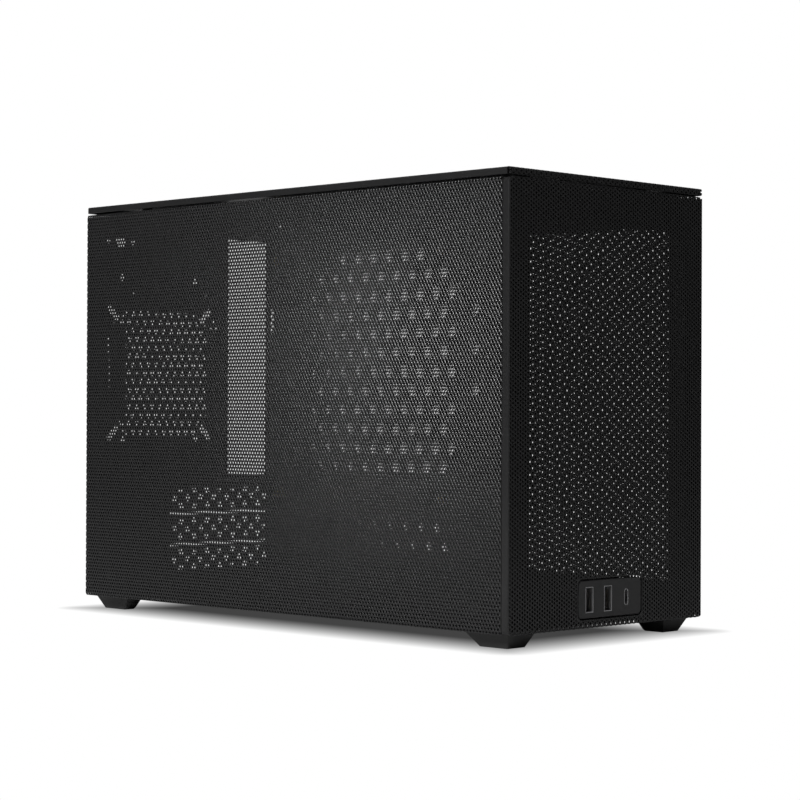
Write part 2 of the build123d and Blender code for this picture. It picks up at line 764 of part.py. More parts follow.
def usb_a_socket(x):
    """A drawn steel shell, open at the front, standing on the port board."""
    with BuildPart() as shell:
        with BuildSketch(Plane.XZ.offset(-port_front)):
            with Locations((x, port_low + usb_a_height / 2)):
                Rectangle(usb_a_width, usb_a_height)
        extrude(amount=-usb_a_length)
        offset(amount=-port_shell, openings=shell.faces().sort_by(Axis.Y)[0])
    return shell.part


save(usb_a_socket(port_centres[0]), "usb_a_left")
save(usb_a_socket(port_centres[1]), "usb_a_right")

with BuildPart() as usb_c:
    with BuildSketch(Plane.XZ.offset(-port_front)):
        with Locations((port_centres[2], port_low + usb_a_height / 2)):
            SlotOverall(usb_c_height, usb_c_width, rotation=90)
    extrude(amount=-usb_c_length)
    offset(amount=-port_shell, openings=usb_c.faces().sort_by(Axis.Y)[0])
    # Foot that stands on the port board
    with BuildSketch(Plane.XY.offset(port_low)):
        with Locations((port_centres[2], bezel_back + usb_c_length / 2)):
            Rectangle(usb_c_width * 0.8, usb_c_length / 2)
    extrude(amount=(usb_a_height - usb_c_height) / 2 + port_shell / 2)
save(usb_c.part, "usb_c")

with BuildPart() as port_tongues:
    tongue_root = port_front + usb_a_length - port_shell
    with BuildSketch(Plane.XZ.offset(-tongue_root)):
        with Locations(*[(x - 0.9, port_low + usb_a_height / 2) for x in port_centres[:2]]):
            Rectangle(1.8, usb_a_height - 2.8)
    extrude(amount=usb_a_length - 2.2)
    with BuildSketch(Plane.XZ.offset(-(port_front + usb_c_length - port_shell))):
        with Locations((port_centres[2], port_low + usb_a_height / 2)):
            Rectangle(0.7, usb_c_height - 2.6)
    extrude(amount=usb_c_length - 1.8)
save(port_tongues.part, "port_tongues")

with BuildPart() as port_board:
    with BuildSketch(Plane.XY.offset(port_low)):
        with Locations((bezel_x, bezel_back + port_board_length / 2)):
            Rectangle(bezel_width - 6, port_board_length)
    extrude(amount=-port_board_sheet)
save(port_board.part, "port_board")

bracket_top = port_low - port_board_sheet
bracket_front = frame_front + end_fold + 1
bracket_step = bezel_back + port_board_length
with BuildPart() as port_bracket:
    with BuildSketch(Plane.YZ.offset(bezel_x - bezel_width / 2 + 5)):
        with BuildLine():
            Polyline(
                (bracket_front, bracket_top),
                (bracket_step, bracket_top),
                (bracket_step, floor_z + frame_sheet),
                (bracket_step + end_fold, floor_z + frame_sheet),
                (bracket_step + end_fold, floor_z),
                (bracket_step - frame_sheet, floor_z),
                (bracket_step - frame_sheet, bracket_top - frame_sheet),
                (bracket_front, bracket_top - frame_sheet),
                close=True,
            )
        make_face()
    extrude(amount=bezel_width - 10)
save(port_bracket.part, "port_bracket")

# Pins on the panels and the clips that they snap into


def pins(plane, spots, way, gap):
    """Shouldered pins on a panel; way is their sign along the plane's normal, gap the space they span."""
    with BuildPart() as group:
        with BuildSketch(plane):
            with Locations(*spots):
                Circle(pin_shoulder / 2)
        extrude(amount=way * (gap - fit_gap))
        with BuildSketch(plane):
            with Locations(*spots):
                Circle(pin_diameter / 2)
        extrude(amount=way * (gap + pin_reach))
    return group.part


def clips(plane, spots, way):
    """Square clips on a frame sheet, each with a bore for a pin; way is their sign along the normal."""
    with BuildPart() as group:
        with BuildSketch(plane):
            with Locations(*spots):
                Rectangle(clip_size, clip_size)
                Circle(pin_hole, mode=Mode.SUBTRACT)
        extrude(amount=way * clip_depth)
    return group.part


for side, name in ((-1, "left"), (1, "right")):
    panel_plane = Plane.YZ.offset(side * (half_width - panel_sheet))
    sheet_plane = Plane.YZ.offset(side * (frame_half - frame_sheet))
    save(pins(panel_plane, side_spots, -side, panel_gap), name + "_panel_pins")
    save(clips(sheet_plane, side_spots, -side), name + "_clips")

save(pins(Plane.XZ.offset(half_depth - panel_sheet), front_spots, -1, panel_gap), "front_panel_pins")
save(clips(Plane.XZ.offset(-front_inner), front_spots, -1), "front_clips")

top_gap = body_high - panel_sheet - frame_high
save(pins(Plane.XY.offset(body_high - panel_sheet), top_spots, -1, top_gap), "top_panel_pins")
save(clips(Plane.XY.offset(ceiling_z), top_spots, -1), "top_clips")

# Feet: tapered blocks with the inner corner cut away


def foot_outline(side, end, near_x, near_y, far_x, far_y, cut):
    """Corners of a foot, given as distances from the middle of the case; near is towards the outside."""
    return [
        (side * near_x, end * near_y),
        (side * far_x, end * near_y),
        (side * far_x, end * (far_y + cut)),
        (side * (far_x + cut), end * far_y),
        (side * near_x, end * far_y),
    ]


def foot(side, end, inset_y):
    """A foot at one corner: side is the sign of X, end the sign of Y, inset_y its distance from the end."""
    near_x = half_width - foot_outer_x
    near_y = half_depth - inset_y
    far_x = near_x - foot_width
    far_y = near_y - foot_length
    slope = foot_side_slope
    low = foot_outline(side, end, near_x, near_y, far_x, far_y, foot_cut)
    high = foot_outline(
        side, end, near_x + slope, near_y + slope, far_x - slope, far_y - foot_end_slope, foot_cut + slope
    )
    with BuildPart() as block:
        for height, outline in ((0, low), (frame_low, high)):
            with BuildSketch(Plane.XY.offset(height)):
                with BuildLine():
                    Polyline(*outline, close=True)
                make_face()
        loft(ruled=True)
        with BuildSketch(Plane.XY):
            with Locations((side * (near_x + far_x) / 2, end * (near_y + far_y) / 2)):
                Circle(foot_screw_recess / 2)
        extrude(amount=foot_screw_depth, mode=Mode.SUBTRACT)
        with BuildSketch(Plane.XY):
            with Locations((side * (near_x + far_x) / 2, end * (near_y + far_y) / 2)):
                Circle(screw_hole)
        extrude(amount=frame_low, mode=Mode.SUBTRACT)
    return block.part


save(foot(-1, -1, foot_outer_y), "foot_front_left")
save(foot(1, -1, foot_outer_y), "foot_front_right")
save(foot(-1, 1, foot_rear_y), "foot_rear_left")
save(foot(1, 1, foot_rear_y), "foot_rear_right")

# Screws


def screws(plane, spots, way, grip):
    """Equal screws whose heads rest on a plane; way is the sign of the heads, grip the sheets they pass."""
    with BuildPart() as group:
        with BuildSketch(plane):
            with Locations(*spots):
                Circle(screw_head / 2)
        extrude(amount=way * screw_head_height)
        with BuildSketch(plane):
            with Locations(*spots):
                Circle(screw_shank / 2)
        extrude(amount=-way * (grip + 1))
    return group.part


base_screws = screws(Plane.XY.offset(frame_low), frame_screw_spots, -1, 2 * frame_sheet)
top_screws = screws(Plane.XY.offset(frame_high), frame_screw_spots, 1, 2 * frame_sheet)
with BuildPart() as frame_screws:
    add(base_screws)
    add(top_screws)
save(frame_screws.part, "frame_screws")

low_wall_screws = screws(Plane.XY.offset(frame_low), wall_screw_spots, -1, 2 * frame_sheet)
high_wall_screws = screws(Plane.XY.offset(frame_high), wall_screw_spots, 1, 2 * frame_sheet)
with BuildPart() as board_wall_screws:
    add(low_wall_screws)
    add(high_wall_screws)
save(board_wall_screws.part, "board_wall_screws")

foot_grip = frame_low + frame_sheet - foot_screw_depth
save(screws(Plane.XY.offset(foot_screw_depth), foot_screw_spots, -1, foot_grip), "foot_screws")

rear_face = Plane.XZ.offset(-frame_back)
inlet_spots = [(inlet_x + step * inlet_screw_span / 2, inlet_height) for step in (-1, 1)]
switch_spots = [(button_x, button_height + step * switch_screw_span / 2) for step in (-1, 1)]
save(screws(rear_face, inlet_spots, -1, frame_sheet + inlet_flange), "inlet_screws")
save(screws(rear_face, switch_spots, -1, frame_sheet + inlet_flange), "switch_screws")

tab_plane = Plane.YZ.offset(slot_left + cover_sheet)
save(screws(tab_plane, tab_spots, 1, cover_sheet + frame_sheet), "slot_screws")
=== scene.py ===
"""Visual model of an upright small computer case with perforated panels on a folded steel frame."""

import logging
import math
from dataclasses import dataclass, field
from enum import Enum
from functools import partial
from typing import Callable, Sequence

import bmesh
import bpy
import numpy as np
from mathutils import Matrix, Vector


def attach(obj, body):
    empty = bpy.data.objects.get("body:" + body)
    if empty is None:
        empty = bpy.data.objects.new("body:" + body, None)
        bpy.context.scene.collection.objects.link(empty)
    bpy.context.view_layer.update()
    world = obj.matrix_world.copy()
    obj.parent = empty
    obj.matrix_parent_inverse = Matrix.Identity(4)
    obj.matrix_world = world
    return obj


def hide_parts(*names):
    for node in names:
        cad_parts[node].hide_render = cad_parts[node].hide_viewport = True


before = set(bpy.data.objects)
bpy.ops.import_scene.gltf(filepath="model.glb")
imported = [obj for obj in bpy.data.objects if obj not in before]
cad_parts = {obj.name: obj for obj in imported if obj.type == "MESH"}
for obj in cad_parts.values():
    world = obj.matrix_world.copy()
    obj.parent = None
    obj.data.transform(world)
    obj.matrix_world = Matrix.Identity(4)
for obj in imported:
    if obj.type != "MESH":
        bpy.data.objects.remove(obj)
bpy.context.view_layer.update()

log = logging.getLogger("case")

MM = 0.001
HALF_WIDTH = 83.7 * MM
HALF_DEPTH = 181.0 * MM
BODY_LOW = 8.3 * MM
PANEL_HIGH = 250.3 * MM
BODY_HIGH = 255.3 * MM
SHEET = 0.8 * MM
BEND = 1.2 * MM
BEND_ARC = (BEND - SHEET / 2) * math.pi / 2
OVERLAP = 0.2 * MM
FIRST_COLUMN = -82.0 * MM
CURVE_STEPS = 6
GRAIN_DEPTH = 0.05 * MM
MERGE_DISTANCE = 0.002 * MM
SPLIT_DISTANCE = 0.0005 * MM
SHORTEST_WEB = 0.1 * MM
LAYER_STEP = 0.02 * MM
COPLANAR_ANGLE = math.radians(0.5)
SMOOTH_ANGLE = math.radians(35)
RIM_ANGLE = math.radians(28)
FLAT = 0.0

Point = tuple[float, float]
Spot = tuple[float, float, float]
Place = Callable[[np.ndarray, np.ndarray, np.ndarray], np.ndarray]
Loop = list[bmesh.types.BMVert]
Socket = bpy.types.NodeSocket
Sockets = Sequence[tuple[str, str]]
Value = Socket | float | int | tuple
Feeds = dict[str | int, Value]


# Node trees


@dataclass
class NodeWriter:
    """Adds nodes to a tree and links them; a value may be a socket or a plain number."""

    tree: bpy.types.NodeTree

    def node(self, kind: str, feeds: Feeds | None = None, **settings: object) -> bpy.types.Node:
        """Add a node.

        Args:
            kind: the node's type name.
            feeds: a socket or a plain value for some inputs, by their name or number.
            settings: properties to set on the node first.

        Returns:
            The new node.
        """
        made = self.tree.nodes.new(kind)
        for name, value in settings.items():
            setattr(made, name, value)
        self.feed(made, feeds or {})
        return made

    def feed(self, node: bpy.types.Node, feeds: Feeds) -> None:
        """Link sockets to a node's inputs, or set the inputs' own values.

        Args:
            node: the node.
            feeds: a socket or a plain value for some inputs, by their name or number.
        """
        for name, value in feeds.items():
            if isinstance(value, Socket):
                self.tree.links.new(value, node.inputs[name])
            else:
                node.inputs[name].default_value = value

    def math(self, operation: str, *values: Value) -> Socket:
        """Add a Math node with its inputs in order, and return its value."""
        return self.node("ShaderNodeMath", dict(enumerate(values)), operation=operation).outputs[0]

    def plus(self, first: Value, second: Value) -> Socket:
        """Add two values."""
        return self.math("ADD", first, second)

    def minus(self, first: Value, second: Value) -> Socket:
        """Take the second value from the first."""
        return self.math("SUBTRACT", first, second)

    def times(self, first: Value, second: Value) -> Socket:
        """Multiply two values."""
        return self.math("MULTIPLY", first, second)

    def vector(self, x: Value, y: Value, z: Value) -> Socket:
        """Combine three values into a vector."""
        return self.node("ShaderNodeCombineXYZ", {0: x, 1: y, 2: z}).outputs[0]

    def noise(self, place: Value, scale: float, detail: float) -> Socket:
        """Add a Noise Texture and return its value."""
        return self.node("ShaderNodeTexNoise", {"Vector": place, "Scale": scale, "Detail": detail}).outputs[0]

    def spread(self, value: Value, low: Value, high: Value) -> Socket:
        """Map a value from 0..1 to low..high."""
        return self.node("ShaderNodeMapRange", {"Value": value, "To Min": low, "To Max": high}).outputs[0]

    def scaled(self, colour: Value, level: Value) -> Socket:
        """Multiply a colour by a level."""
        return self.node("ShaderNodeVectorMath", {0: colour, "Scale": level}, operation="SCALE").outputs[0]

    def close(self, **results: Value) -> bpy.types.NodeTree:
        """Link the group's outputs by their names, and return its tree."""
        self.node("NodeGroupOutput", results)
        return self.tree

    def close_geometry(self, instances: Socket, material: Socket) -> bpy.types.NodeTree:
        """End a geometry tree in Realize Instances and Set Material.

        Args:
            instances: the geometry.
            material: the material that it gets.

        Returns:
            The finished tree.
        """
        real = self.node("GeometryNodeRealizeInstances", {0: instances})
        dressed = self.node("GeometryNodeSetMaterial", {"Geometry": real.outputs[0], "Material": material})
        return self.close(Geometry=dressed.outputs[0])


def open_group(name: str, kind: str, inputs: Sockets, outputs: Sockets) -> NodeWriter:
    """Start a node group with named sockets.

    Args:
        name: the group's name.
        kind: the tree's type name.
        inputs: name and socket type of each input.
        outputs: name and socket type of each output.

    Returns:
        A writer for the group.
    """
    tree = bpy.data.node_groups.new(name, kind)
    for way, sockets in (("INPUT", inputs), ("OUTPUT", outputs)):
        for label, socket in sockets:
            tree.interface.new_socket(label, in_out=way, socket_type=socket)
    return NodeWriter(tree)


FLOAT = "NodeSocketFloat"
COLOUR = "NodeSocketColor"
VECTOR = "NodeSocketVector"
GEOMETRY = "NodeSocketGeometry"
OBJECT = "NodeSocketObject"
MATERIAL = "NodeSocketMaterial"
SURFACE = (("Colour", COLOUR), ("Roughness", FLOAT), ("Height", FLOAT))


# Shared surface effects


def coat_grain_group() -> bpy.types.NodeTree:
    """Fine orange-peel texture of baked powder paint, with soft cloudiness and a few dust specks.

    Returns:
        A group that gives a colour, a roughness and a height.
    """
    peel_scale, cloud_scale, dust_scale, detail = 1500.0, 38.0, 900.0, 3.0
    dust_from, dust_light, half = 0.76, 0.5, 0.5
    write = open_group("coat_grain", "ShaderNodeTree", [
        ("Place", VECTOR), ("Colour", COLOUR), ("Cloud", FLOAT), ("Rough Low", FLOAT), ("Rough High", FLOAT),
    ], SURFACE)
    given = write.node("NodeGroupInput").outputs
    peel = write.noise(given["Place"], peel_scale, detail)
    cloud = write.noise(given["Place"], cloud_scale, detail)
    dust = write.math("GREATER_THAN", write.noise(given["Place"], dust_scale, 0.0), dust_from)
    clouded = write.spread(cloud, write.minus(1.0, given["Cloud"]), write.plus(1.0, given["Cloud"]))
    level = write.math("MULTIPLY_ADD", dust, dust_light, clouded)
    mixed = write.math("MULTIPLY_ADD", peel, half, write.times(cloud, half))
    rough = write.spread(mixed, given["Rough Low"], given["Rough High"])
    return write.close(Colour=write.scaled(given["Colour"], level), Roughness=rough, Height=peel)


def moulding_group() -> bpy.types.NodeTree:
    """Spark-eroded grain of a plastic moulding, with slightly polished patches.

    Returns:
        A group that gives a colour, a roughness and a height.
    """
    patch_scale, detail = 120.0, 2.0
    shade, polish = (0.88, 1.12), (0.86, 1.1)
    write = open_group("moulding_grain", "ShaderNodeTree", [
        ("Place", VECTOR), ("Colour", COLOUR), ("Rough", FLOAT), ("Grain Scale", FLOAT),
    ], SURFACE)
    given = write.node("NodeGroupInput").outputs
    cells = write.node("ShaderNodeTexVoronoi", {"Vector": given["Place"], "Scale": given["Grain Scale"]},
                       feature="SMOOTH_F1")
    patch = write.noise(given["Place"], patch_scale, detail)
    colour = write.scaled(given["Colour"], write.spread(patch, *shade))
    rough = write.times(given["Rough"], write.spread(patch, *polish))
    return write.close(Colour=colour, Roughness=rough, Height=cells.outputs["Distance"])


def draw_marks_group() -> bpy.types.NodeTree:
    """Fine draw marks along one axis of bare metal.

    Returns:
        A group that gives a colour, a roughness and a height.
    """
    marks_scale, haze_scale, detail = 4200.0, 160.0, 2.0
    along_marks = (1.0, 0.05, 1.0)
    shade, wear = (0.85, 1.1), (0.75, 1.3)
    write = open_group("draw_marks", "ShaderNodeTree",
                       [("Place", VECTOR), ("Colour", COLOUR), ("Rough", FLOAT)], SURFACE)
    given = write.node("NodeGroupInput").outputs
    stretch = write.node("ShaderNodeMapping", {"Vector": given["Place"], "Scale": along_marks})
    marks = write.noise(stretch.outputs[0], marks_scale, detail)
    haze = write.noise(given["Place"], haze_scale, detail)
    colour = write.scaled(given["Colour"], write.spread(haze, *shade))
    rough = write.times(given["Rough"], write.spread(marks, *wear))
    return write.close(Colour=colour, Roughness=rough, Height=marks)


class Effect(Enum):
    """The kinds of surface that a finish can have."""

    COAT = "coat"
    MOULDING = "moulding"
    DRAWN = "drawn"


GROUPS: dict[Effect, bpy.types.NodeTree] = {
    Effect.COAT: coat_grain_group(),
    Effect.MOULDING: moulding_group(),
    Effect.DRAWN: draw_marks_group(),
}


@dataclass(frozen=True)
class Finish:
    """One finish of the case: its colour and how its surface takes the light."""

    name: str
    effect: Effect
    colour: tuple[float, float, float]
    settings: tuple[tuple[str, float], ...]
    bump: float
    specular: float = 0.5
    metallic: float = 0.0
    coat: float = 0.0
    transmission: float = 0.0

    def material(self) -> bpy.types.Material:
        """The finish's material, made on the first call.

        Returns:
            The material.
        """
        if self.name in bpy.data.materials:
            return bpy.data.materials[self.name]
        made = bpy.data.materials.new(self.name)
        made.use_nodes = True
        write = NodeWriter(made.node_tree)
        place = write.node("ShaderNodeTexCoord").outputs["Object"]
        effect = write.node("ShaderNodeGroup", {"Place": place, "Colour": (*self.colour, 1.0), **dict(self.settings)},
                            node_tree=GROUPS[self.effect])
        bump = write.node("ShaderNodeBump", {
            "Strength": self.bump, "Distance": GRAIN_DEPTH, "Height": effect.outputs["Height"],
        })
        write.feed(made.node_tree.nodes["Principled BSDF"], {
            "Base Color": effect.outputs["Colour"], "Roughness": effect.outputs["Roughness"],
            "Normal": bump.outputs["Normal"], "Metallic": self.metallic, "Specular IOR Level": self.specular,
            "Coat Weight": self.coat, "Transmission Weight": self.transmission,
        })
        return made


COAT_GRAIN = (("Cloud", 0.08), ("Rough Low", 0.23), ("Rough High", 0.28))
FRAME_GRAIN = (("Cloud", 0.15), ("Rough Low", 0.42), ("Rough High", 0.6))
PANEL = Finish("panel_powder_coat", Effect.COAT, (0.023, 0.023, 0.0235), COAT_GRAIN, 0.2, specular=0.5)
# Black coat like the panels', but darker: the extra darkness is painted shade that keeps the inside of the case dark
FRAME_WITH_PAINTED_SHADE = Finish("frame_coat_painted_shade", Effect.COAT, (0.009, 0.009, 0.0092), FRAME_GRAIN, 0.2, specular=0.15)
BEZEL = Finish("bezel_plastic", Effect.MOULDING, (0.055, 0.055, 0.056),
               (("Rough", 0.42), ("Grain Scale", 1800.0)), 0.25, specular=0.35)
FOOT = Finish("foot_plastic", Effect.MOULDING, (0.045, 0.045, 0.046),
              (("Rough", 0.55), ("Grain Scale", 1300.0)), 0.35, specular=0.3)
CLIP = Finish("clip_plastic", Effect.MOULDING, (0.02, 0.02, 0.02),
              (("Rough", 0.5), ("Grain Scale", 1500.0)), 0.25, specular=0.3)
INLET = Finish("inlet_plastic", Effect.MOULDING, (0.014, 0.014, 0.014),
               (("Rough", 0.4), ("Grain Scale", 1600.0)), 0.2, specular=0.35)
BUTTON = Finish("button_light_guide", Effect.MOULDING, (0.7, 0.7, 0.7),
                (("Rough", 0.3), ("Grain Scale", 900.0)), 0.05, transmission=0.75)
TONGUE = Finish("tongue_plastic", Effect.MOULDING, (0.012, 0.012, 0.012),
                (("Rough", 0.35), ("Grain Scale", 2200.0)), 0.15)
LAMINATE = Finish("board_laminate", Effect.MOULDING, (0.012, 0.03, 0.018),
                  (("Rough", 0.3), ("Grain Scale", 700.0)), 0.1, coat=0.4)
SHELL = Finish("socket_steel", Effect.DRAWN, (0.85, 0.85, 0.86), (("Rough", 0.28),), 0.1, metallic=0.15)
PLATED = Finish("plated_blades", Effect.DRAWN, (0.7, 0.66, 0.55), (("Rough", 0.3),), 0.1, metallic=1.0)
BRASS = Finish("standoff_brass", Effect.DRAWN, (0.62, 0.47, 0.2), (("Rough", 0.32),), 0.15, metallic=1.0)
SCREW = Finish("black_plated_screw", Effect.DRAWN, (0.045, 0.045, 0.047), (("Rough", 0.34),), 0.1,
               metallic=0.6)


# Meshes


def put_in_scene(name: str, data: bpy.types.ID) -> bpy.types.Object:
    """Add an object to the scene.

    Args:
        name: its name.
        data: its mesh, light or camera.

    Returns:
        The object.
    """
    made = bpy.data.objects.new(name, data)
    bpy.context.scene.collection.objects.link(made)
    return made


def new_piece(name: str, mesh: bpy.types.Mesh, finish: Finish) -> bpy.types.Object:
    """Put a mesh into the scene as a piece with one finish.

    Args:
        name: the piece's name.
        mesh: its mesh, in the row frame.
        finish: its finish.

    Returns:
        The piece.
    """
    mesh.name = name
    mesh.materials.clear()
    mesh.materials.append(finish.material())
    return put_in_scene(name, mesh)


def finish_mesh(mesh: bpy.types.Mesh, crease: float = SMOOTH_ANGLE) -> None:
    """Set the shading of a mesh.

    Args:
        mesh: the mesh.
        crease: the angle up to which it is smooth, or FLAT.
    """
    mesh.polygons.foreach_set("use_smooth", [crease > FLAT] * len(mesh.polygons))
    if crease > FLAT:
        mesh.set_sharp_from_angle(angle=crease)
    mesh.update()


def applied(piece: bpy.types.Object) -> bpy.types.Mesh:
    """Apply a piece's modifiers and remove them.

    Args:
        piece: the piece.

    Returns:
        Its mesh with the modifiers applied, as new data.
    """
    graph = bpy.context.evaluated_depsgraph_get()
    mesh = bpy.data.meshes.new_from_object(piece.evaluated_get(graph))
    piece.modifiers.clear()
    return mesh


def merged_copy(node: str) -> bpy.types.Mesh:
    """A copy of a CAD node's mesh with its doubles merged and its flat triangles joined.

    Args:
        node: the node's name.

    Returns:
        The copy.
    """
    solid = bmesh.new()
    solid.from_mesh(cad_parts[node].data)
    bmesh.ops.remove_doubles(solid, verts=solid.verts, dist=MERGE_DISTANCE)
    bmesh.ops.dissolve_limit(solid, angle_limit=COPLANAR_ANGLE, verts=solid.verts, edges=solid.edges)
    mesh = bpy.data.meshes.new(node + "_copy")
    solid.to_mesh(mesh)
    solid.free()
    return mesh


@dataclass(frozen=True)
class Rect:
    """A rectangle of flat sheet: low and high along U, then along V."""

    low_u: float
    high_u: float
    low_v: float
    high_v: float

    def outline(self) -> list[Point]:
        """Its corners, in order."""
        return [(self.low_u, self.low_v), (self.high_u, self.low_v),
                (self.high_u, self.high_v), (self.low_u, self.high_v)]


@dataclass
class MeshBuilder:
    """Collects closed solids in one mesh."""

    solid: bmesh.types.BMesh = field(default_factory=bmesh.new)

    def loops(self, outline: Sequence[Point], levels: Sequence[float], place: Place) -> list[Loop]:
        """Add the points of an outline at several levels.

        Args:
            outline: the closed outline, as pairs of the first two coordinates.
            levels: the levels along the third coordinate.
            place: maps the three coordinates into the row frame.

        Returns:
            A loop of points for each level.
        """
        first, second = np.array(outline).T
        return [[self.solid.verts.new(spot) for spot in place(first, second, np.full(len(outline), level))]
                for level in levels]

    def band(self, near: Loop, far: Loop) -> list[bmesh.types.BMFace]:
        """Add the faces between two loops.

        Args:
            near: the first loop.
            far: the second loop, with as many points.

        Returns:
            The faces.
        """
        after = [(step + 1) % len(near) for step in range(len(near))]
        return [self.solid.faces.new((near[step], near[turn], far[turn], far[step]))
                for step, turn in enumerate(after)]

    def prism(self, outline: Sequence[Point], low: float, high: float, place: Place) -> None:
        """Add a prism.

        Args:
            outline: the closed outline, as pairs of the first two coordinates.
            low: where it starts along the third coordinate.
            high: where it ends.
            place: maps the three coordinates into the row frame.
        """
        lower, upper = self.loops(outline, (low, high), place)
        made = [self.solid.faces.new(lower), self.solid.faces.new(upper), *self.band(lower, upper)]
        bmesh.ops.recalc_face_normals(self.solid, faces=made)

    def box(self, low: Sequence[float], high: Sequence[float]) -> None:
        """Add a box between two corners of the row frame."""
        self.prism(Rect(low[0], high[0], low[1], high[1]).outline(), low[2], high[2],
                   lambda x, y, z: np.stack((x, y, z), axis=1))

    def ring(self, outer: Sequence[Point], inner: Sequence[Point], low: float, high: float,
             place: Place) -> None:
        """Add a ring-shaped plate.

        Args:
            outer: its outer outline.
            inner: its inner outline, with as many points.
            low: where it starts along the third coordinate.
            high: where it ends.
            place: maps the three coordinates into the row frame.
        """
        outer_low, outer_high = self.loops(outer, (low, high), place)
        inner_low, inner_high = self.loops(inner, (low, high), place)
        order = (outer_low, outer_high, inner_high, inner_low)
        made = [face for near, far in zip(order, (*order[1:], order[0])) for face in self.band(near, far)]
        bmesh.ops.recalc_face_normals(self.solid, faces=made)

    def mesh(self, name: str, crease: float = SMOOTH_ANGLE) -> bpy.types.Mesh:
        """The collected mesh.

        Args:
            name: the mesh's name.
            crease: the angle up to which it is smooth, or FLAT.

        Returns:
            The mesh.
        """
        made = bpy.data.meshes.new(name)
        self.solid.to_mesh(made)
        self.solid.free()
        finish_mesh(made, crease)
        return made


def joined_mesh(name: str, parts: Sequence[bpy.types.Mesh]) -> bpy.types.Mesh:
    """Join meshes into one.

    Args:
        name: the new mesh's name.
        parts: the meshes.

    Returns:
        The new mesh.
    """
    builder = MeshBuilder()
    for part in parts:
        builder.solid.from_mesh(part)
    return builder.mesh(name)


def rounded_rectangle(centre: Point, width: float, height: float, radius: float) -> list[Point]:
    """Outline of a rectangle with rounded corners.

    Args:
        centre: its centre.
        width: its size along the first coordinate.
        height: its size along the second.
        radius: the corners' radius.

    Returns:
        The outline's points.
    """
    points = []
    for corner, (side_u, side_v) in enumerate(((1, 1), (-1, 1), (-1, -1), (1, -1))):
        for step in range(CURVE_STEPS + 1):
            turn = math.pi / 2 * (corner + step / CURVE_STEPS)
            points.append((centre[0] + side_u * (width / 2 - radius) + radius * math.cos(turn),
                           centre[1] + side_v * (height / 2 - radius) + radius * math.sin(turn)))
    return points


def folded_profile(face: float, flange: float) -> list[Point]:
    """Cross-section of a sheet folded once through a right angle.

    Args:
        face: reach of the face from the outer corner, along the first coordinate.
        flange: depth of the flange from the outer corner, along the second coordinate.

    Returns:
        The closed outline; the outer corner would be at (0, 0).
    """
    turns = [math.pi / 2 * step / CURVE_STEPS for step in range(CURVE_STEPS + 1)]
    outer, inner = ([(BEND - radius * math.cos(turn), BEND - radius * math.sin(turn)) for turn in turns]
                    for radius in (BEND, BEND - SHEET))
    return [(0.0, flange), *outer, (face, 0.0), (face, SHEET), *reversed(inner), (SHEET, flange)]


# Perforated sheet


def add_webs(write: NodeWriter, given: bpy.types.bpy_prop_collection, half: tuple[Socket, Socket],
             middle: tuple[Socket, Socket], layer: int) -> Socket:
    """Add one family of parallel webs, each cut to length where it leaves the sheet's rectangle.

    Args:
        write: the tree's writer.
        given: the tree's inputs.
        half: half the rectangle's size along U and V.
        middle: its middle.
        layer: 0, 1 or 2 for webs at 0, 60 or 120 degrees; each layer is a little thinner than the last.

    Returns:
        The webs.
    """
    angle = layer * math.pi / 3
    along, across = math.cos(angle), math.sin(angle)
    (half_u, half_v), (mid_u, mid_v) = half, middle
    reach = write.plus(write.times(half_u, abs(across)), write.times(half_v, abs(along)))
    steps = write.math("DIVIDE", reach, given["Row Spacing"])
    shift_v = write.times(write.minus(given["Hole V"], mid_v), along)
    shift_u = write.times(write.minus(given["Hole U"], mid_u), across)
    shift = write.math("DIVIDE", write.minus(shift_v, shift_u), given["Row Spacing"])
    phase = write.plus(shift, 0.5)
    first = write.math("CEIL", write.minus(write.times(steps, -1.0), phase))
    last = write.math("FLOOR", write.minus(steps, phase))
    index = write.node("GeometryNodeInputIndex").outputs[0]
    offset = write.times(write.plus(write.plus(phase, first), index), given["Row Spacing"])
    if layer == 0:
        low, high = write.times(half_u, -1.0), half_u
    else:
        cross_u, cross_v = write.times(offset, across / along), write.times(offset, -along / across)
        span_u, span_v = write.math("DIVIDE", half_u, abs(along)), write.math("DIVIDE", half_v, abs(across))
        low = write.math("MAXIMUM", write.minus(cross_u, span_u), write.minus(cross_v, span_v))
        high = write.math("MINIMUM", write.plus(cross_u, span_u), write.plus(cross_v, span_v))
    length = write.minus(high, low)
    centre = write.times(write.plus(low, high), 0.5)
    place_u = write.plus(mid_u, write.minus(write.times(centre, along), write.times(offset, across)))
    place_v = write.plus(mid_v, write.plus(write.times(centre, across), write.times(offset, along)))
    place = write.vector(place_u, place_v, write.times(given["Thickness"], 0.5))
    points = write.node("GeometryNodePoints", {"Count": write.plus(write.minus(last, first), 1.0)})
    placed = write.node("GeometryNodeSetPosition", {"Geometry": points.outputs[0], "Position": place})
    web = write.node("GeometryNodeObjectInfo", {"Object": given["Web"]})
    long_enough = write.node("FunctionNodeCompare", {"A": length, "B": SHORTEST_WEB},
                             data_type="FLOAT", operation="GREATER_THAN")
    depth = write.minus(given["Thickness"], LAYER_STEP * layer)
    return write.node("GeometryNodeInstanceOnPoints", {
        "Points": placed.outputs[0], "Selection": long_enough.outputs[0], "Instance": web.outputs["Geometry"],
        "Rotation": (0.0, 0.0, angle), "Scale": write.vector(length, given["Web Width"], depth),
    }).outputs[0]


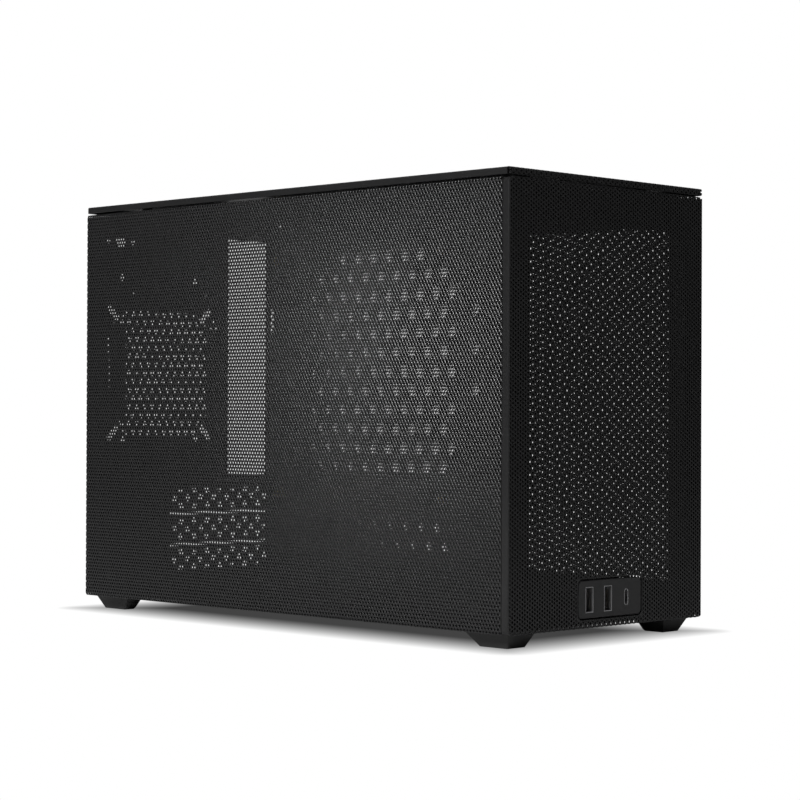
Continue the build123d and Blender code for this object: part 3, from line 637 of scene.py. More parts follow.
def lattice_tree() -> bpy.types.NodeTree:
    """Sheet metal with a triangular field of holes, as three families of straight webs between the holes.

    The webs run at 0, 60 and 120 degrees, midway between neighbouring rows of holes.

    Returns:
        A geometry node tree.
    """
    sizes = ("Low U", "High U", "Low V", "High V", "Hole U", "Hole V",
             "Row Spacing", "Web Width", "Thickness")
    write = open_group("perforated_sheet", "GeometryNodeTree", [
        ("Geometry", GEOMETRY), *((name, FLOAT) for name in sizes), ("Web", OBJECT), ("Material", MATERIAL),
    ], [("Geometry", GEOMETRY)])
    given = write.node("NodeGroupInput").outputs
    half = tuple(write.times(write.minus(given["High " + way], given["Low " + way]), 0.5) for way in "UV")
    middle = tuple(write.plus(given["Low " + way], size) for way, size in zip("UV", half))
    joined = write.node("GeometryNodeJoinGeometry")
    for layer in range(3):
        write.feed(joined, {0: add_webs(write, given, half, middle, layer)})
    return write.close_geometry(joined.outputs[0], given["Material"])


LATTICE = lattice_tree()


def run_tree(tree: bpy.types.NodeTree, start: bpy.types.Mesh, values: dict[str, object]) -> bpy.types.Mesh:
    """Evaluate a geometry node tree.

    Args:
        tree: the tree.
        start: the mesh that goes in.
        values: the tree's inputs by name.

    Returns:
        The resulting mesh, as new data.
    """
    carrier = put_in_scene("carrier", start)
    modifier = carrier.modifiers.new("nodes", "NODES")
    modifier.node_group = tree
    sockets = {item.name: item.identifier for item in tree.interface.items_tree if item.in_out == "INPUT"}
    for name, value in values.items():
        modifier[sockets[name]] = value
    mesh = applied(carrier)
    bpy.data.objects.remove(carrier)
    return mesh


@dataclass(frozen=True)
class Fold:
    """A bend of the sheet: along U (0) or V (1), towards low (-1) or high (+1), past a limit."""

    axis: int
    way: int
    limit: float


@dataclass
class PerforatedSheet:
    """A flat perforated sheet that is then folded; U runs along its rows of holes, W is its depth."""

    hole: Point
    row_spacing: float = 2.0 * MM
    web: float = 0.72 * MM
    thickness: float = SHEET
    rim_width: float = 0.2 * MM
    rim_depth: float = 0.13 * MM
    fold_faces: int = 3
    finish: Finish = PANEL

    @property
    def bend_middle(self) -> float:
        """Radius of a bend, measured to the middle of the sheet."""
        return BEND - self.thickness / 2

    def unit_web(self) -> bpy.types.Object:
        """One web of unit length, width and depth, with the rims of its outer face cut back.

        Returns:
            An object that holds it.
        """
        side = 0.5 - self.rim_width / self.web
        deep = self.rim_depth / self.thickness - 0.5
        profile = [(-0.5, 0.5), (-0.5, deep), (-side, -0.5), (side, -0.5), (0.5, deep), (0.5, 0.5)]
        bar = MeshBuilder()
        bar.prism(profile, -0.5, 0.5, lambda y, z, x: np.stack((x, y, z), axis=1))
        return put_in_scene("web", bar.mesh("web", FLAT))

    def flat(self, rect: Rect) -> bpy.types.Mesh:
        """The webs of one rectangle.

        Args:
            rect: the rectangle.

        Returns:
            Its flat mesh.
        """
        web = self.unit_web()
        flat = run_tree(LATTICE, bpy.data.meshes.new("flat"), {
            "Low U": rect.low_u, "High U": rect.high_u, "Low V": rect.low_v, "High V": rect.high_v,
            "Hole U": self.hole[0], "Hole V": self.hole[1], "Row Spacing": self.row_spacing,
            "Web Width": self.web, "Thickness": self.thickness, "Web": web,
            "Material": self.finish.material(),
        })
        bpy.data.objects.remove(web)
        return flat

    def split(self, solid: bmesh.types.BMesh, folds: Sequence[Fold],
              corner: tuple[Rect, float] | None) -> None:
        """Cut the webs where folds and rounded corners bend them, so that they can follow the curve.

        Args:
            solid: the webs.
            folds: the sheet's bends.
            corner: an outline and radius that the sheet's corners are rounded to, if any.
        """
        arc = self.bend_middle * math.pi / 2
        lines = [(fold.axis, fold.limit + fold.way * arc * step / self.fold_faces)
                 for fold in folds for step in range(self.fold_faces + 1)]
        if corner is not None:
            outline, radius = corner
            lines += [(0, outline.low_u + radius), (0, outline.high_u - radius),
                      (1, outline.low_v + radius), (1, outline.high_v - radius)]
        for axis, level in lines:
            normal = Vector((float(axis == 0), float(axis == 1), 0.0))
            bmesh.ops.bisect_plane(solid, geom=[*solid.verts, *solid.edges, *solid.faces],
                                   dist=SPLIT_DISTANCE, plane_co=normal * level, plane_no=normal)

    def fold(self, spots: np.ndarray, fold: Fold) -> np.ndarray:
        """Bend the sheet's points.

        Args:
            spots: points as U, V and depth.
            fold: the bend.

        Returns:
            The moved points.
        """
        moved = spots.copy()
        past = fold.way * (spots[:, fold.axis] - fold.limit)
        bent = past > 0
        turn = np.minimum(past[bent] / self.bend_middle, math.pi / 2)
        straight = np.maximum(past[bent] - self.bend_middle * math.pi / 2, 0.0)
        reach = BEND - spots[bent, 2]
        moved[bent, fold.axis] = fold.limit + fold.way * reach * np.sin(turn)
        moved[bent, 2] = BEND - reach * np.cos(turn) + straight
        return moved

    def cut(self, rects: Sequence[Rect], place: Place, folds: Sequence[Fold] = (),
            corner: tuple[Rect, float] | None = None) -> bpy.types.Mesh:
        """The folded sheet in the row frame.

        Args:
            rects: its rectangles of perforation.
            place: maps U, V and depth into the row frame.
            folds: its bends.
            corner: an outline and radius that the sheet's corners are rounded to, if any.

        Returns:
            The mesh.
        """
        solid = bmesh.new()
        for rect in rects:
            piece = self.flat(rect)
            solid.from_mesh(piece)
            bpy.data.meshes.remove(piece)
        self.split(solid, folds, corner)
        mesh = bpy.data.meshes.new("sheet")
        solid.to_mesh(mesh)
        solid.free()
        spots = np.empty(len(mesh.vertices) * 3)
        mesh.vertices.foreach_get("co", spots)
        spots = spots.reshape(-1, 3)
        if corner is not None:
            spots = round_corners(spots, *corner)
        for fold in folds:
            spots = self.fold(spots, fold)
        mesh.vertices.foreach_set("co", place(*spots.T).ravel())
        # A mirroring placement turns the faces inside out
        if np.linalg.det(place(*np.eye(3)) - place(*np.zeros((3, 1)))) < 0:
            mesh.flip_normals()
        finish_mesh(mesh, RIM_ANGLE)
        return mesh


def round_corners(spots: np.ndarray, outline: Rect, radius: float) -> np.ndarray:
    """Pull the points that lie outside rounded corners onto them.

    Args:
        spots: points as U, V and depth.
        outline: the sheet's rectangle.
        radius: the corners' radius.

    Returns:
        The moved points.
    """
    moved = spots.copy()
    near_u = np.clip(spots[:, 0], outline.low_u + radius, outline.high_u - radius)
    near_v = np.clip(spots[:, 1], outline.low_v + radius, outline.high_v - radius)
    away = np.hypot(spots[:, 0] - near_u, spots[:, 1] - near_v)
    corner = (near_u != spots[:, 0]) & (near_v != spots[:, 1]) & (away > radius)
    scale = radius / away[corner]
    moved[corner, 0] = near_u[corner] + (spots[corner, 0] - near_u[corner]) * scale
    moved[corner, 1] = near_v[corner] + (spots[corner, 1] - near_v[corner]) * scale
    return moved


# Panels


@dataclass
class Assembly:
    """A group of pieces that ride on one body."""

    body: str = "case"

    def keep(self, piece: bpy.types.Object, slot: str, *nodes: str) -> None:
        """Attach a finished piece to its body and hide the nodes that it replaces.

        Args:
            piece: the piece.
            slot: the record's material slot; not used.
            nodes: the nodes that it replaces.
        """
        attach(piece, self.body)
        if nodes:
            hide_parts(*nodes)
        log.info("%s: %d faces on %s", piece.name, len(piece.data.polygons), self.body)


@dataclass
class SidePanel(Assembly):
    """Left or right panel: perforated round its bends, with plain flanges and a plain front edge."""

    side: int = -1
    front: float = -176.1 * MM
    flange: float = 4.8 * MM
    lowest_row: float = 9.2 * MM
    first_hole: float = 1.1 * MM
    front_edge: float = 0.35 * MM
    past_bend: float = 0.4 * MM
    corner: float = 2.4 * MM
    square_front: float = 9.0 * MM

    def place(self, u: np.ndarray, v: np.ndarray, w: np.ndarray) -> np.ndarray:
        """Map the panel's U (towards the rear), V (up) and depth into the row frame."""
        return np.stack((self.side * (HALF_WIDTH - w), u, v), axis=1)

    def build(self, name: str) -> None:
        """Make the panel's pieces.

        Args:
            name: the node that they replace.
        """
        reach = BEND_ARC + self.past_bend
        flat_rear, flat_low, flat_high = HALF_DEPTH - BEND, BODY_LOW + BEND, PANEL_HIGH - BEND
        rect = Rect(self.front + OVERLAP, flat_rear + reach, flat_low - reach, flat_high + reach)
        folds = [Fold(1, 1, flat_high), Fold(1, -1, flat_low), Fold(0, 1, flat_rear)]
        outline = Rect(rect.low_u - self.square_front, rect.high_u, rect.low_v, rect.high_v)
        sheet = PerforatedSheet((self.front + self.first_hole, self.lowest_row))
        mesh = sheet.cut([rect], self.place, folds, (outline, self.corner))
        self.keep(new_piece(name + "_mesh", mesh, PANEL), "panel_steel", name)
        self.keep(new_piece(name + "_flanges", self.flanges(), PANEL), "panel_steel", name)

    def flanges(self) -> bpy.types.Mesh:
        """The plain edges: the flanges past the bends and the front edge.

        Returns:
            Their mesh.
        """
        plain = MeshBuilder()
        start = BEND + OVERLAP
        rear, low, high = HALF_DEPTH - BEND, BODY_LOW + BEND, PANEL_HIGH - BEND
        strips = (
            (Rect(self.front, rear, PANEL_HIGH - SHEET, PANEL_HIGH), start, self.flange),
            (Rect(self.front, rear, BODY_LOW, BODY_LOW + SHEET), start, self.flange),
            (Rect(HALF_DEPTH - SHEET, HALF_DEPTH, low, high), start, self.flange),
            (Rect(self.front, self.front + self.front_edge, low, high), 0.0, SHEET),
        )
        for rect, near, deep in strips:
            plain.prism(rect.outline(), near, deep, self.place)
        return plain.mesh("flanges")


@dataclass
class FrontPanel(Assembly):
    """Front panel: perforated up to its edges, with a plain fold down each side and a rimmed port opening."""

    flange: float = 4.5 * MM
    face_strip: float = 0.95 * MM
    corner: float = 3.0 * MM
    fold_end: float = 1.8 * MM
    fold_step: float = 1.05 * MM
    step_inset: float = 0.45 * MM
    lowest_hole: float = 9.45 * MM
    margin: float = 0.1 * MM
    edge: float = 0.5 * MM
    port_centre: Point = (0.9 * MM, 23.8 * MM)
    port_size: Point = (56.0 * MM, 22.5 * MM)
    port_corner: float = 3.9 * MM
    port_rim: float = 0.7 * MM
    rim_corner: float = 0.28 * MM
    rim_proud: float = 0.01 * MM

    def place(self, u: np.ndarray, v: np.ndarray, w: np.ndarray) -> np.ndarray:
        """Map the panel's U (up), V (to the right) and depth into the row frame."""
        return np.stack((v, w - HALF_DEPTH, u), axis=1)

    def fold_place(self, side: int, a: np.ndarray, b: np.ndarray, c: np.ndarray) -> np.ndarray:
        """Map a fold's face reach, flange depth and height into the row frame, for one side."""
        return np.stack((side * (HALF_WIDTH - a), b - HALF_DEPTH, c), axis=1)

    def rim_place(self, x: np.ndarray, z: np.ndarray, w: np.ndarray) -> np.ndarray:
        """Map the port rim's coordinates into the row frame, no further out than the panel's face."""
        return np.stack((x, np.maximum(w, 0.0) - HALF_DEPTH, z), axis=1)

    def build(self, name: str) -> None:
        """Make the panel's pieces.

        Args:
            name: the node that they replace.
        """
        half = HALF_WIDTH - self.face_strip + OVERLAP
        low, high = BODY_LOW + self.margin, PANEL_HIGH - self.margin
        left, right = (self.port_centre[0] + way * self.port_size[0] / 2 for way in (-1, 1))
        under, over = (self.port_centre[1] + way * self.port_size[1] / 2 for way in (-1, 1))
        rects = [
            Rect(over, high, -half, half),
            Rect(low, under, left, right),
            Rect(low, over, -half, left),
            Rect(low, over, right, half),
        ]
        outline = Rect(BODY_LOW, PANEL_HIGH, -HALF_WIDTH, HALF_WIDTH)
        sheet = PerforatedSheet((self.lowest_hole, FIRST_COLUMN))
        mesh = sheet.cut(rects, self.place, corner=(outline, self.corner))
        self.keep(new_piece(name + "_mesh", mesh, PANEL), "panel_steel", name)
        self.keep(new_piece(name + "_edges", self.edges(), PANEL), "panel_steel", name)

    def edges(self) -> bpy.types.Mesh:
        """The side folds, the top and bottom edges and the rim of the port opening.

        Returns:
            Their mesh.
        """
        plain = MeshBuilder()
        low, high = BODY_LOW + self.fold_end, PANEL_HIGH - self.fold_end
        profile = folded_profile(self.face_strip, self.flange)
        # The fold's ends step back with the rounded corner of the face
        stepped = [(max(a, self.step_inset), b) for a, b in profile]
        for side in (-1, 1):
            place = partial(self.fold_place, side)
            plain.prism(profile, low, high, place)
            for end, way in ((low, -1), (high, 1)):
                plain.prism(stepped, end, end + way * self.fold_step, place)
        reach = HALF_WIDTH - self.corner
        for level in (BODY_LOW, PANEL_HIGH - self.edge):
            plain.box((-reach, -HALF_DEPTH, level), (reach, SHEET - HALF_DEPTH, level + self.edge))
        inner = rounded_rectangle(self.port_centre, *self.port_size, self.port_corner)
        grown = (size + 2 * self.port_rim for size in self.port_size)
        outer = rounded_rectangle(self.port_centre, *grown, self.rim_corner)
        plain.ring(outer, inner, -self.rim_proud, SHEET + self.rim_proud, self.rim_place)
        return plain.mesh("edges")


@dataclass
class TopPanel(Assembly):
    """Top cap: perforated over its front bend, with a plain skirt on the left, right and rear."""

    skirt: float = 4.0 * MM
    side_strip: float = 1.9 * MM
    corner: float = 1.6 * MM
    edge: float = 0.4 * MM
    margin: float = 0.1 * MM
    skirt_inset: float = 0.9 * MM
    first_row: float = 0.3 * MM

    def place(self, u: np.ndarray, v: np.ndarray, w: np.ndarray) -> np.ndarray:
        """Map the cap's U (to the rear), V (to the right) and depth into the row frame."""
        return np.stack((v, u, BODY_HIGH - w), axis=1)

    def side_place(self, side: int, a: np.ndarray, b: np.ndarray, c: np.ndarray) -> np.ndarray:
        """Map a side skirt's face reach, depth and place along the case into the row frame."""
        return np.stack((side * (HALF_WIDTH - a), c, BODY_HIGH - b), axis=1)

    def rear_place(self, a: np.ndarray, b: np.ndarray, c: np.ndarray) -> np.ndarray:
        """Map the rear skirt's face reach, depth and place across the case into the row frame."""
        return np.stack((c, HALF_DEPTH - a, BODY_HIGH - b), axis=1)

    def build(self, name: str) -> None:
        """Make the cap's pieces.

        Args:
            name: the node that they replace.
        """
        flat = HALF_DEPTH - BEND
        reach = flat + BEND_ARC + self.skirt - BEND - self.margin
        half = HALF_WIDTH - self.side_strip + OVERLAP
        skirt_half = HALF_WIDTH - self.skirt_inset
        rects = [
            Rect(-flat, HALF_DEPTH - self.side_strip + OVERLAP, -half, half),
            Rect(-reach, -flat, -skirt_half, skirt_half),
        ]
        sheet = PerforatedSheet((-flat + self.first_row, FIRST_COLUMN))
        mesh = sheet.cut(rects, self.place, [Fold(0, -1, -flat)])
        self.keep(new_piece(name + "_mesh", mesh, PANEL), "panel_steel", name)
        self.keep(new_piece(name + "_skirt", self.plain_skirt(), PANEL), "panel_steel", name)

    def plain_skirt(self) -> bpy.types.Mesh:
        """The left, right and rear skirts and the lower edge of the front one.

        Returns:
            Their mesh.
        """
        plain = MeshBuilder()
        profile = folded_profile(self.side_strip, self.skirt)
        reach, half = HALF_DEPTH - self.corner, HALF_WIDTH - self.corner
        for side in (-1, 1):
            plain.prism(profile, -reach, reach, partial(self.side_place, side))
        plain.prism(profile, -half, half, self.rear_place)
        low = BODY_HIGH - self.skirt
        plain.box((-half, -HALF_DEPTH, low), (half, SHEET - HALF_DEPTH, low + self.edge))
        return plain.mesh("skirt")


# Rear wall


@dataclass
class RearWall(Assembly):
    """Rear wall: the folded sheet with the fine fan grille, a plain border left of it, and small holes.

    The small holes' places and radii are in millimetres, with heights from the body's lower edge.
    """

    outer: float = 179.6 * MM
    sheet: float = 1.0 * MM
    fan: Point = (-24.8 * MM, 150.3 * MM)
    arm: float = 31.0 * MM
    reach: float = 40.5 * MM
    left_reach: float = 29.5 * MM
    tuck: float = 0.3 * MM
    border: float = 1.0 * MM
    grille_row: float = 5.5 * MM
    grille_web: float = 1.9 * MM
    grille_inset: float = 0.03 * MM
    border_inset: float = 0.02 * MM
    wide_holes: tuple[Point, ...] = ((-56.4, 203.6), (5.0, 203.2), (-55.2, 99.2), (5.9, 99.3))
    wide_radius: float = 2.25
    small_holes: tuple[Point, ...] = (
        (-47.4, 193.5), (13.8, 194.0), (19.6, 173.4), (23.6, 173.4), (21.6, 176.8),
    )
    small_radius: float = 1.3
    column: tuple[float, float, float, int] = (-67.0, 132.4, 163.7, 8)
    column_radius: float = 1.1
    hole_sides: int = 16

    def place(self, u: np.ndarray, v: np.ndarray, w: np.ndarray) -> np.ndarray:
        """Map the wall's U (to the right), V (up) and depth from its outer face into the row frame."""
        return np.stack((u, self.outer - w, v), axis=1)

    def cutter(self) -> bpy.types.Object:
        """The solid that opens the grille's field and drills the small holes.

        Returns:
            A loose object for a Boolean modifier.
        """
        tool = MeshBuilder()
        low, high = -self.sheet, 2 * self.sheet
        a, r = self.arm, self.reach
        cross = [(-a, -r), (a, -r), (a, -a), (r, -a), (r, a), (a, a),
                 (a, r), (-a, r), (-a, a), (-r, a), (-r, -a), (-a, -a)]
        tool.prism([(self.fan[0] + x, self.fan[1] + z) for x, z in cross], low, high, self.place)
        column, lowest, highest, count = self.column
        dots = [(column, z) for z in np.linspace(lowest, highest, count)]
        turns = np.linspace(0, 2 * math.pi, self.hole_sides, endpoint=False)
        for spots, radius in ((self.wide_holes, self.wide_radius), (self.small_holes, self.small_radius),
                              (dots, self.column_radius)):
            for x, z in spots:
                circle = [((x + radius * math.cos(turn)) * MM, (z + radius * math.sin(turn)) * MM + BODY_LOW)
                          for turn in turns]
                tool.prism(circle, low, high, self.place)
        return put_in_scene("rear_cutter", tool.mesh("rear_cutter", FLAT))

    def opened(self, name: str) -> bpy.types.Mesh:
        """The CAD node's wall with the grille's field and the small holes cut out.

        Args:
            name: the node.

        Returns:
            The wall's mesh.
        """
        wall = put_in_scene("rear_blank", merged_copy(name))
        cutter = self.cutter()
        cut = wall.modifiers.new("field", "BOOLEAN")
        cut.object = cutter
        cut.operation = "DIFFERENCE"
        cut.solver = "MANIFOLD"
        mesh = applied(wall)
        bpy.data.objects.remove(wall)
        bpy.data.objects.remove(cutter)
        return mesh

    def build(self, name: str) -> None:
        """Make the wall's piece.

        Args:
            name: the node that it replaces.
        """
        x, z = self.fan
        reach, arm = self.reach + self.tuck, self.arm + OVERLAP
        left, right = x - self.left_reach - self.tuck, x + self.arm + self.tuck
        rects = [
            Rect(left, x + reach, z - self.arm, z + self.arm),
            Rect(left, right, z + self.arm, z + reach),
            Rect(left, right, z - reach, z - self.arm),
        ]
        grille = PerforatedSheet(self.fan, row_spacing=self.grille_row, web=self.grille_web,
                                 thickness=self.sheet - 2 * self.grille_inset, finish=FRAME_WITH_PAINTED_SHADE)
        webs = grille.cut(rects, lambda u, v, w: self.place(u, v, w + self.grille_inset))
        outline = [(x - reach, z - arm), (left, z - arm), (left, z - reach), (left + self.border, z - reach),
                   (left + self.border, z + reach), (left, z + reach), (left, z + arm), (x - reach, z + arm)]
        border = MeshBuilder()
        border.prism(outline, self.border_inset, self.sheet - self.border_inset, self.place)
        mesh = joined_mesh(name, [self.opened(name), webs, border.mesh("grille_border", FLAT)])
        self.keep(new_piece(name + "_wall", mesh, FRAME_WITH_PAINTED_SHADE), "frame_steel", name)


# Screws


def screw_tree() -> bpy.types.NodeTree:
    """Puts one screw on every point of a mesh, turned the same way.

    Returns:
        A geometry node tree.
    """
    write = open_group("screw_set", "GeometryNodeTree", [
        ("Geometry", GEOMETRY), ("Screw", OBJECT), ("Turn", VECTOR), ("Material", MATERIAL),
    ], [("Geometry", GEOMETRY)])
    given = write.node("NodeGroupInput").outputs
    pattern = write.node("GeometryNodeObjectInfo", {"Object": given["Screw"]})
    turn = write.node("FunctionNodeEulerToRotation", {0: given["Turn"]})
    spread = write.node("GeometryNodeInstanceOnPoints", {
        "Points": given["Geometry"], "Instance": pattern.outputs["Geometry"], "Rotation": turn.outputs[0],
    })
    return write.close_geometry(spread.outputs[0], given["Material"])


class Heads(Enum):
    """Which way a screw's head points, as the turn from +Z."""

    UP = (0.0, 0.0, 0.0)
    DOWN = (math.pi, 0.0, 0.0)
    REAR = (-math.pi / 2, 0.0, 0.0)
    RIGHT = (0.0, math.pi / 2, 0.0)


@dataclass
class Screws(Assembly):
    """The case's pan-head screws with hexagonal sockets; their grips and seats are in millimetres."""

    head: float = 2.8 * MM
    height: float = 1.4 * MM
    dome: tuple[Point, ...] = ((1.0, 0.55), (0.93, 0.85), (0.8, 1.0))
    socket: float = 1.15 * MM
    socket_depth: float = 0.9 * MM
    shank: float = 1.5 * MM
    tip: float = 1.125 * MM
    tip_length: float = 0.4 * MM
    sides: int = 24
    frame_grip: float = 3.0
    frame_x: Point = (-45.0, 45.0)
    frame_y: Point = (-172.6, 172.6)
    frame_seats: Point = (9.7, 248.9)
    wall_x: float = 75.6
    wall_y: Point = (0.0, 120.0)
    foot_grip: float = 6.7
    foot_x: Point = (-66.5, 66.5)
    foot_y: Point = (-161.7, 162.9)
    foot_seat: float = 5.0
    rear_grip: float = 5.0
    rear_seat: float = 179.6
    inlet_x: Point = (-26.8, 13.2)
    inlet_z: float = 227.6
    switch_x: float = -73.0
    switch_z: Point = (201.8, 221.8)
    slot_grip: float = 2.8
    slot_seat: Point = (-26.2, 174.6)
    highest_slot: float = 68.6
    slot_spacing: float = 20.32
    tree: bpy.types.NodeTree = field(default_factory=screw_tree)

    def pattern(self, grip: float) -> bpy.types.Object:
        """One screw at the origin, seated on Z = 0 with its head upwards.

        Args:
            grip: length of the shank.

        Returns:
            An object that holds it.
        """
        rings = [(self.tip, -grip), (self.shank, self.tip_length - grip), (self.shank, 0.0), (self.head, 0.0)]
        rings += [(self.head * across, self.height * up) for across, up in self.dome]
        first_hexagon = len(rings)
        rings += [(self.socket, self.height), (self.socket, self.height - self.socket_depth)]
        turned = MeshBuilder()
        loops = []
        for number, (radius, level) in enumerate(rings):
            loop = []
            for step in range(self.sides):
                turn = 2 * math.pi * step / self.sides
                reach = radius
                if number >= first_hexagon:
                    reach = radius / math.cos((turn + math.pi / 6) % (math.pi / 3) - math.pi / 6)
                loop.append(turned.solid.verts.new((reach * math.cos(turn), reach * math.sin(turn), level)))
            loops.append(loop)
        for near, far in zip(loops, loops[1:]):
            turned.band(near, far)
        for end in (loops[0], loops[-1]):
            turned.solid.faces.new(end)
        bmesh.ops.recalc_face_normals(turned.solid, faces=turned.solid.faces)
        return put_in_scene("screw", turned.mesh("screw"))

    def build(self, name: str, sets: Sequence[tuple[Heads, float, Sequence[Spot]]]) -> None:
        """Make one node's screws.

        Args:
            name: the node that they replace.
            sets: for each direction the heads' way, the shank's length and the seats, in millimetres.
        """
        parts = []
        for heads, grip, seats in sets:
            screw = self.pattern(grip * MM)
            spots = bpy.data.meshes.new("seats")
            spots.from_pydata([[value * MM for value in seat] for seat in seats], [], [])
            values = {"Screw": screw, "Turn": heads.value, "Material": SCREW.material()}
            parts.append(run_tree(self.tree, spots, values))
            bpy.data.objects.remove(screw)
        self.keep(new_piece(name + "_set", joined_mesh(name, parts), SCREW), "screw_steel", name)

    def build_all(self) -> None:
        """Make the screws of every node that has some."""
        corners = [(x, y) for x in self.frame_x for y in self.frame_y]
        wall = [(self.wall_x, y) for y in self.wall_y]
        for name, spots in (("frame_screws", corners), ("board_wall_screws", wall)):
            self.build(name, [(heads, self.frame_grip, [(*spot, seat) for spot in spots])
                              for heads, seat in zip((Heads.DOWN, Heads.UP), self.frame_seats)])
        feet = [(x, y, self.foot_seat) for x in self.foot_x for y in self.foot_y]
        self.build("foot_screws", [(Heads.DOWN, self.foot_grip, feet)])
        inlet = [(x, self.rear_seat, self.inlet_z) for x in self.inlet_x]
        self.build("inlet_screws", [(Heads.REAR, self.rear_grip, inlet)])
        switch = [(self.switch_x, self.rear_seat, z) for z in self.switch_z]
        self.build("switch_screws", [(Heads.REAR, self.rear_grip, switch)])
        tabs = [(*self.slot_seat, self.highest_slot - self.slot_spacing * number) for number in range(3)]
        self.build("slot_screws", [(Heads.RIGHT, self.slot_grip, tabs)])


# Moulded pieces and the nodes that keep their CAD shape


@dataclass
class Mouldings(Assembly):
    """Solid pieces that get rounded edges: the feet, the port plate, the inlet, the switch and the clips."""

    foot_rounding: float = 0.55 * MM
    plate_rounding: float = 0.25 * MM
    inlet_rounding: float = 0.35 * MM
    clip_rounding: float = 0.3 * MM
    edge_angle: float = math.radians(30)
    largest_curved: float = 30.0 * MM * MM

    def soften(self, node: str, finish: Finish, slot: str, width: float, segments: int = 2) -> None:
        """Replace a node by a copy with rounded edges.

        Args:
            node: the node.
            finish: its finish.
            slot: its material slot.
            width: the rounding's width.
            segments: how many faces make the rounding.
        """
        piece = new_piece(node + "_moulded", merged_copy(node), finish)
        bevel = piece.modifiers.new("rounding", "BEVEL")
        bevel.width = width
        bevel.segments = segments
        bevel.limit_method = "ANGLE"
        bevel.angle_limit = self.edge_angle
        piece.data = applied(piece)
        finish_mesh(piece.data)
        small = [face.area < self.largest_curved for face in piece.data.polygons]
        piece.data.polygons.foreach_set("use_smooth", small)
        self.keep(piece, slot, node)

    def build(self) -> None:
        """Make all the moulded pieces."""
        for end in ("front", "rear"):
            for side in ("left", "right"):
                self.soften(f"foot_{end}_{side}", FOOT, "foot_plastic", self.foot_rounding, 3)
        self.soften("port_bezel", BEZEL, "port_plastic", self.plate_rounding)
        for node in ("power_inlet", "button_switch"):
            self.soften(node, INLET, "inlet_plastic", self.inlet_rounding)
        for side in ("left", "right", "front", "top"):
            self.soften(f"{side}_clips", CLIP, "clip_plastic", self.clip_rounding)


CARRIED: dict[str, Finish] = {
    "base_frame": FRAME_WITH_PAINTED_SHADE, "top_frame": FRAME_WITH_PAINTED_SHADE, "front_frame": FRAME_WITH_PAINTED_SHADE, "board_wall": FRAME_WITH_PAINTED_SHADE, "slot_cage": FRAME_WITH_PAINTED_SHADE,
    "slot_cover_1": FRAME_WITH_PAINTED_SHADE, "slot_cover_2": FRAME_WITH_PAINTED_SHADE, "slot_cover_3": FRAME_WITH_PAINTED_SHADE, "port_bracket": FRAME_WITH_PAINTED_SHADE,
    "usb_a_left": SHELL, "usb_a_right": SHELL, "usb_c": SHELL, "port_tongues": TONGUE, "port_board": LAMINATE,
    "inlet_blades": PLATED, "power_button": BUTTON, "standoffs": BRASS, "left_panel_pins": SCREW,
    "right_panel_pins": SCREW, "front_panel_pins": SCREW, "top_panel_pins": SCREW,
}


def dress_carried_nodes() -> None:
    """Give every node that keeps its CAD shape its finish."""
    for name, finish in CARRIED.items():
        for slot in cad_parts[name].material_slots:
            slot.material = finish.material()
        log.info("%s: %s", name, finish.name)


@dataclass
class Contacts(Assembly):
    """Gold contacts on the tongues of the two large sockets, with sizes in millimetres."""

    centres: Point = (-16.6, -0.7)
    middle: float = 23.5
    steps: tuple[float, ...] = (-1.5, -0.5, 0.5, 1.5)
    spacing: float = 2.5
    half_width: float = 0.5
    thickness: float = 0.12
    front: float = -178.6
    length: float = 8.5

    def build(self) -> None:
        """Make the contacts."""
        strips = MeshBuilder()
        for x in self.centres:
            for step in self.steps:
                z = self.middle + step * self.spacing
                low = (x, self.front, z - self.half_width)
                high = (x + self.thickness, self.front + self.length, z + self.half_width)
                strips.box([value * MM for value in low], [value * MM for value in high])
        self.keep(new_piece("socket_contacts", strips.mesh("socket_contacts", FLAT), BRASS), "blade_brass")


# Stage


@dataclass(frozen=True)
class Softbox:
    """A soft rectangular lamp: where it stands, the point that it faces, its size and its power in watts."""

    name: str
    spot: Spot
    aim: Spot
    size: tuple[float, float]
    power: float

    def add(self) -> None:
        """Put the lamp into the scene."""
        light = bpy.data.lights.new(self.name, "AREA")
        light.shape = "RECTANGLE"
        light.size, light.size_y = self.size
        light.energy = self.power
        lamp = put_in_scene(self.name, light)
        lamp.location = self.spot
        lamp.rotation_euler = (Vector(self.aim) - Vector(self.spot)).to_track_quat("-Z", "Y").to_euler()


SOFTBOXES = (
    Softbox("left_softbox", (-1.06, -0.3, 0.77), (-0.08, -0.05, 0.13), (0.3, 0.2), 8.3),
    Softbox("top_softbox", (-0.1, 0.4, 1.9), (0.0, 0.0, 0.0), (1.4, 1.4), 6.0),
    Softbox("rear_softbox", (0.8, 1.3, 0.8), (0.0, 0.1, 0.13), (0.9, 0.9), 7.0),
)


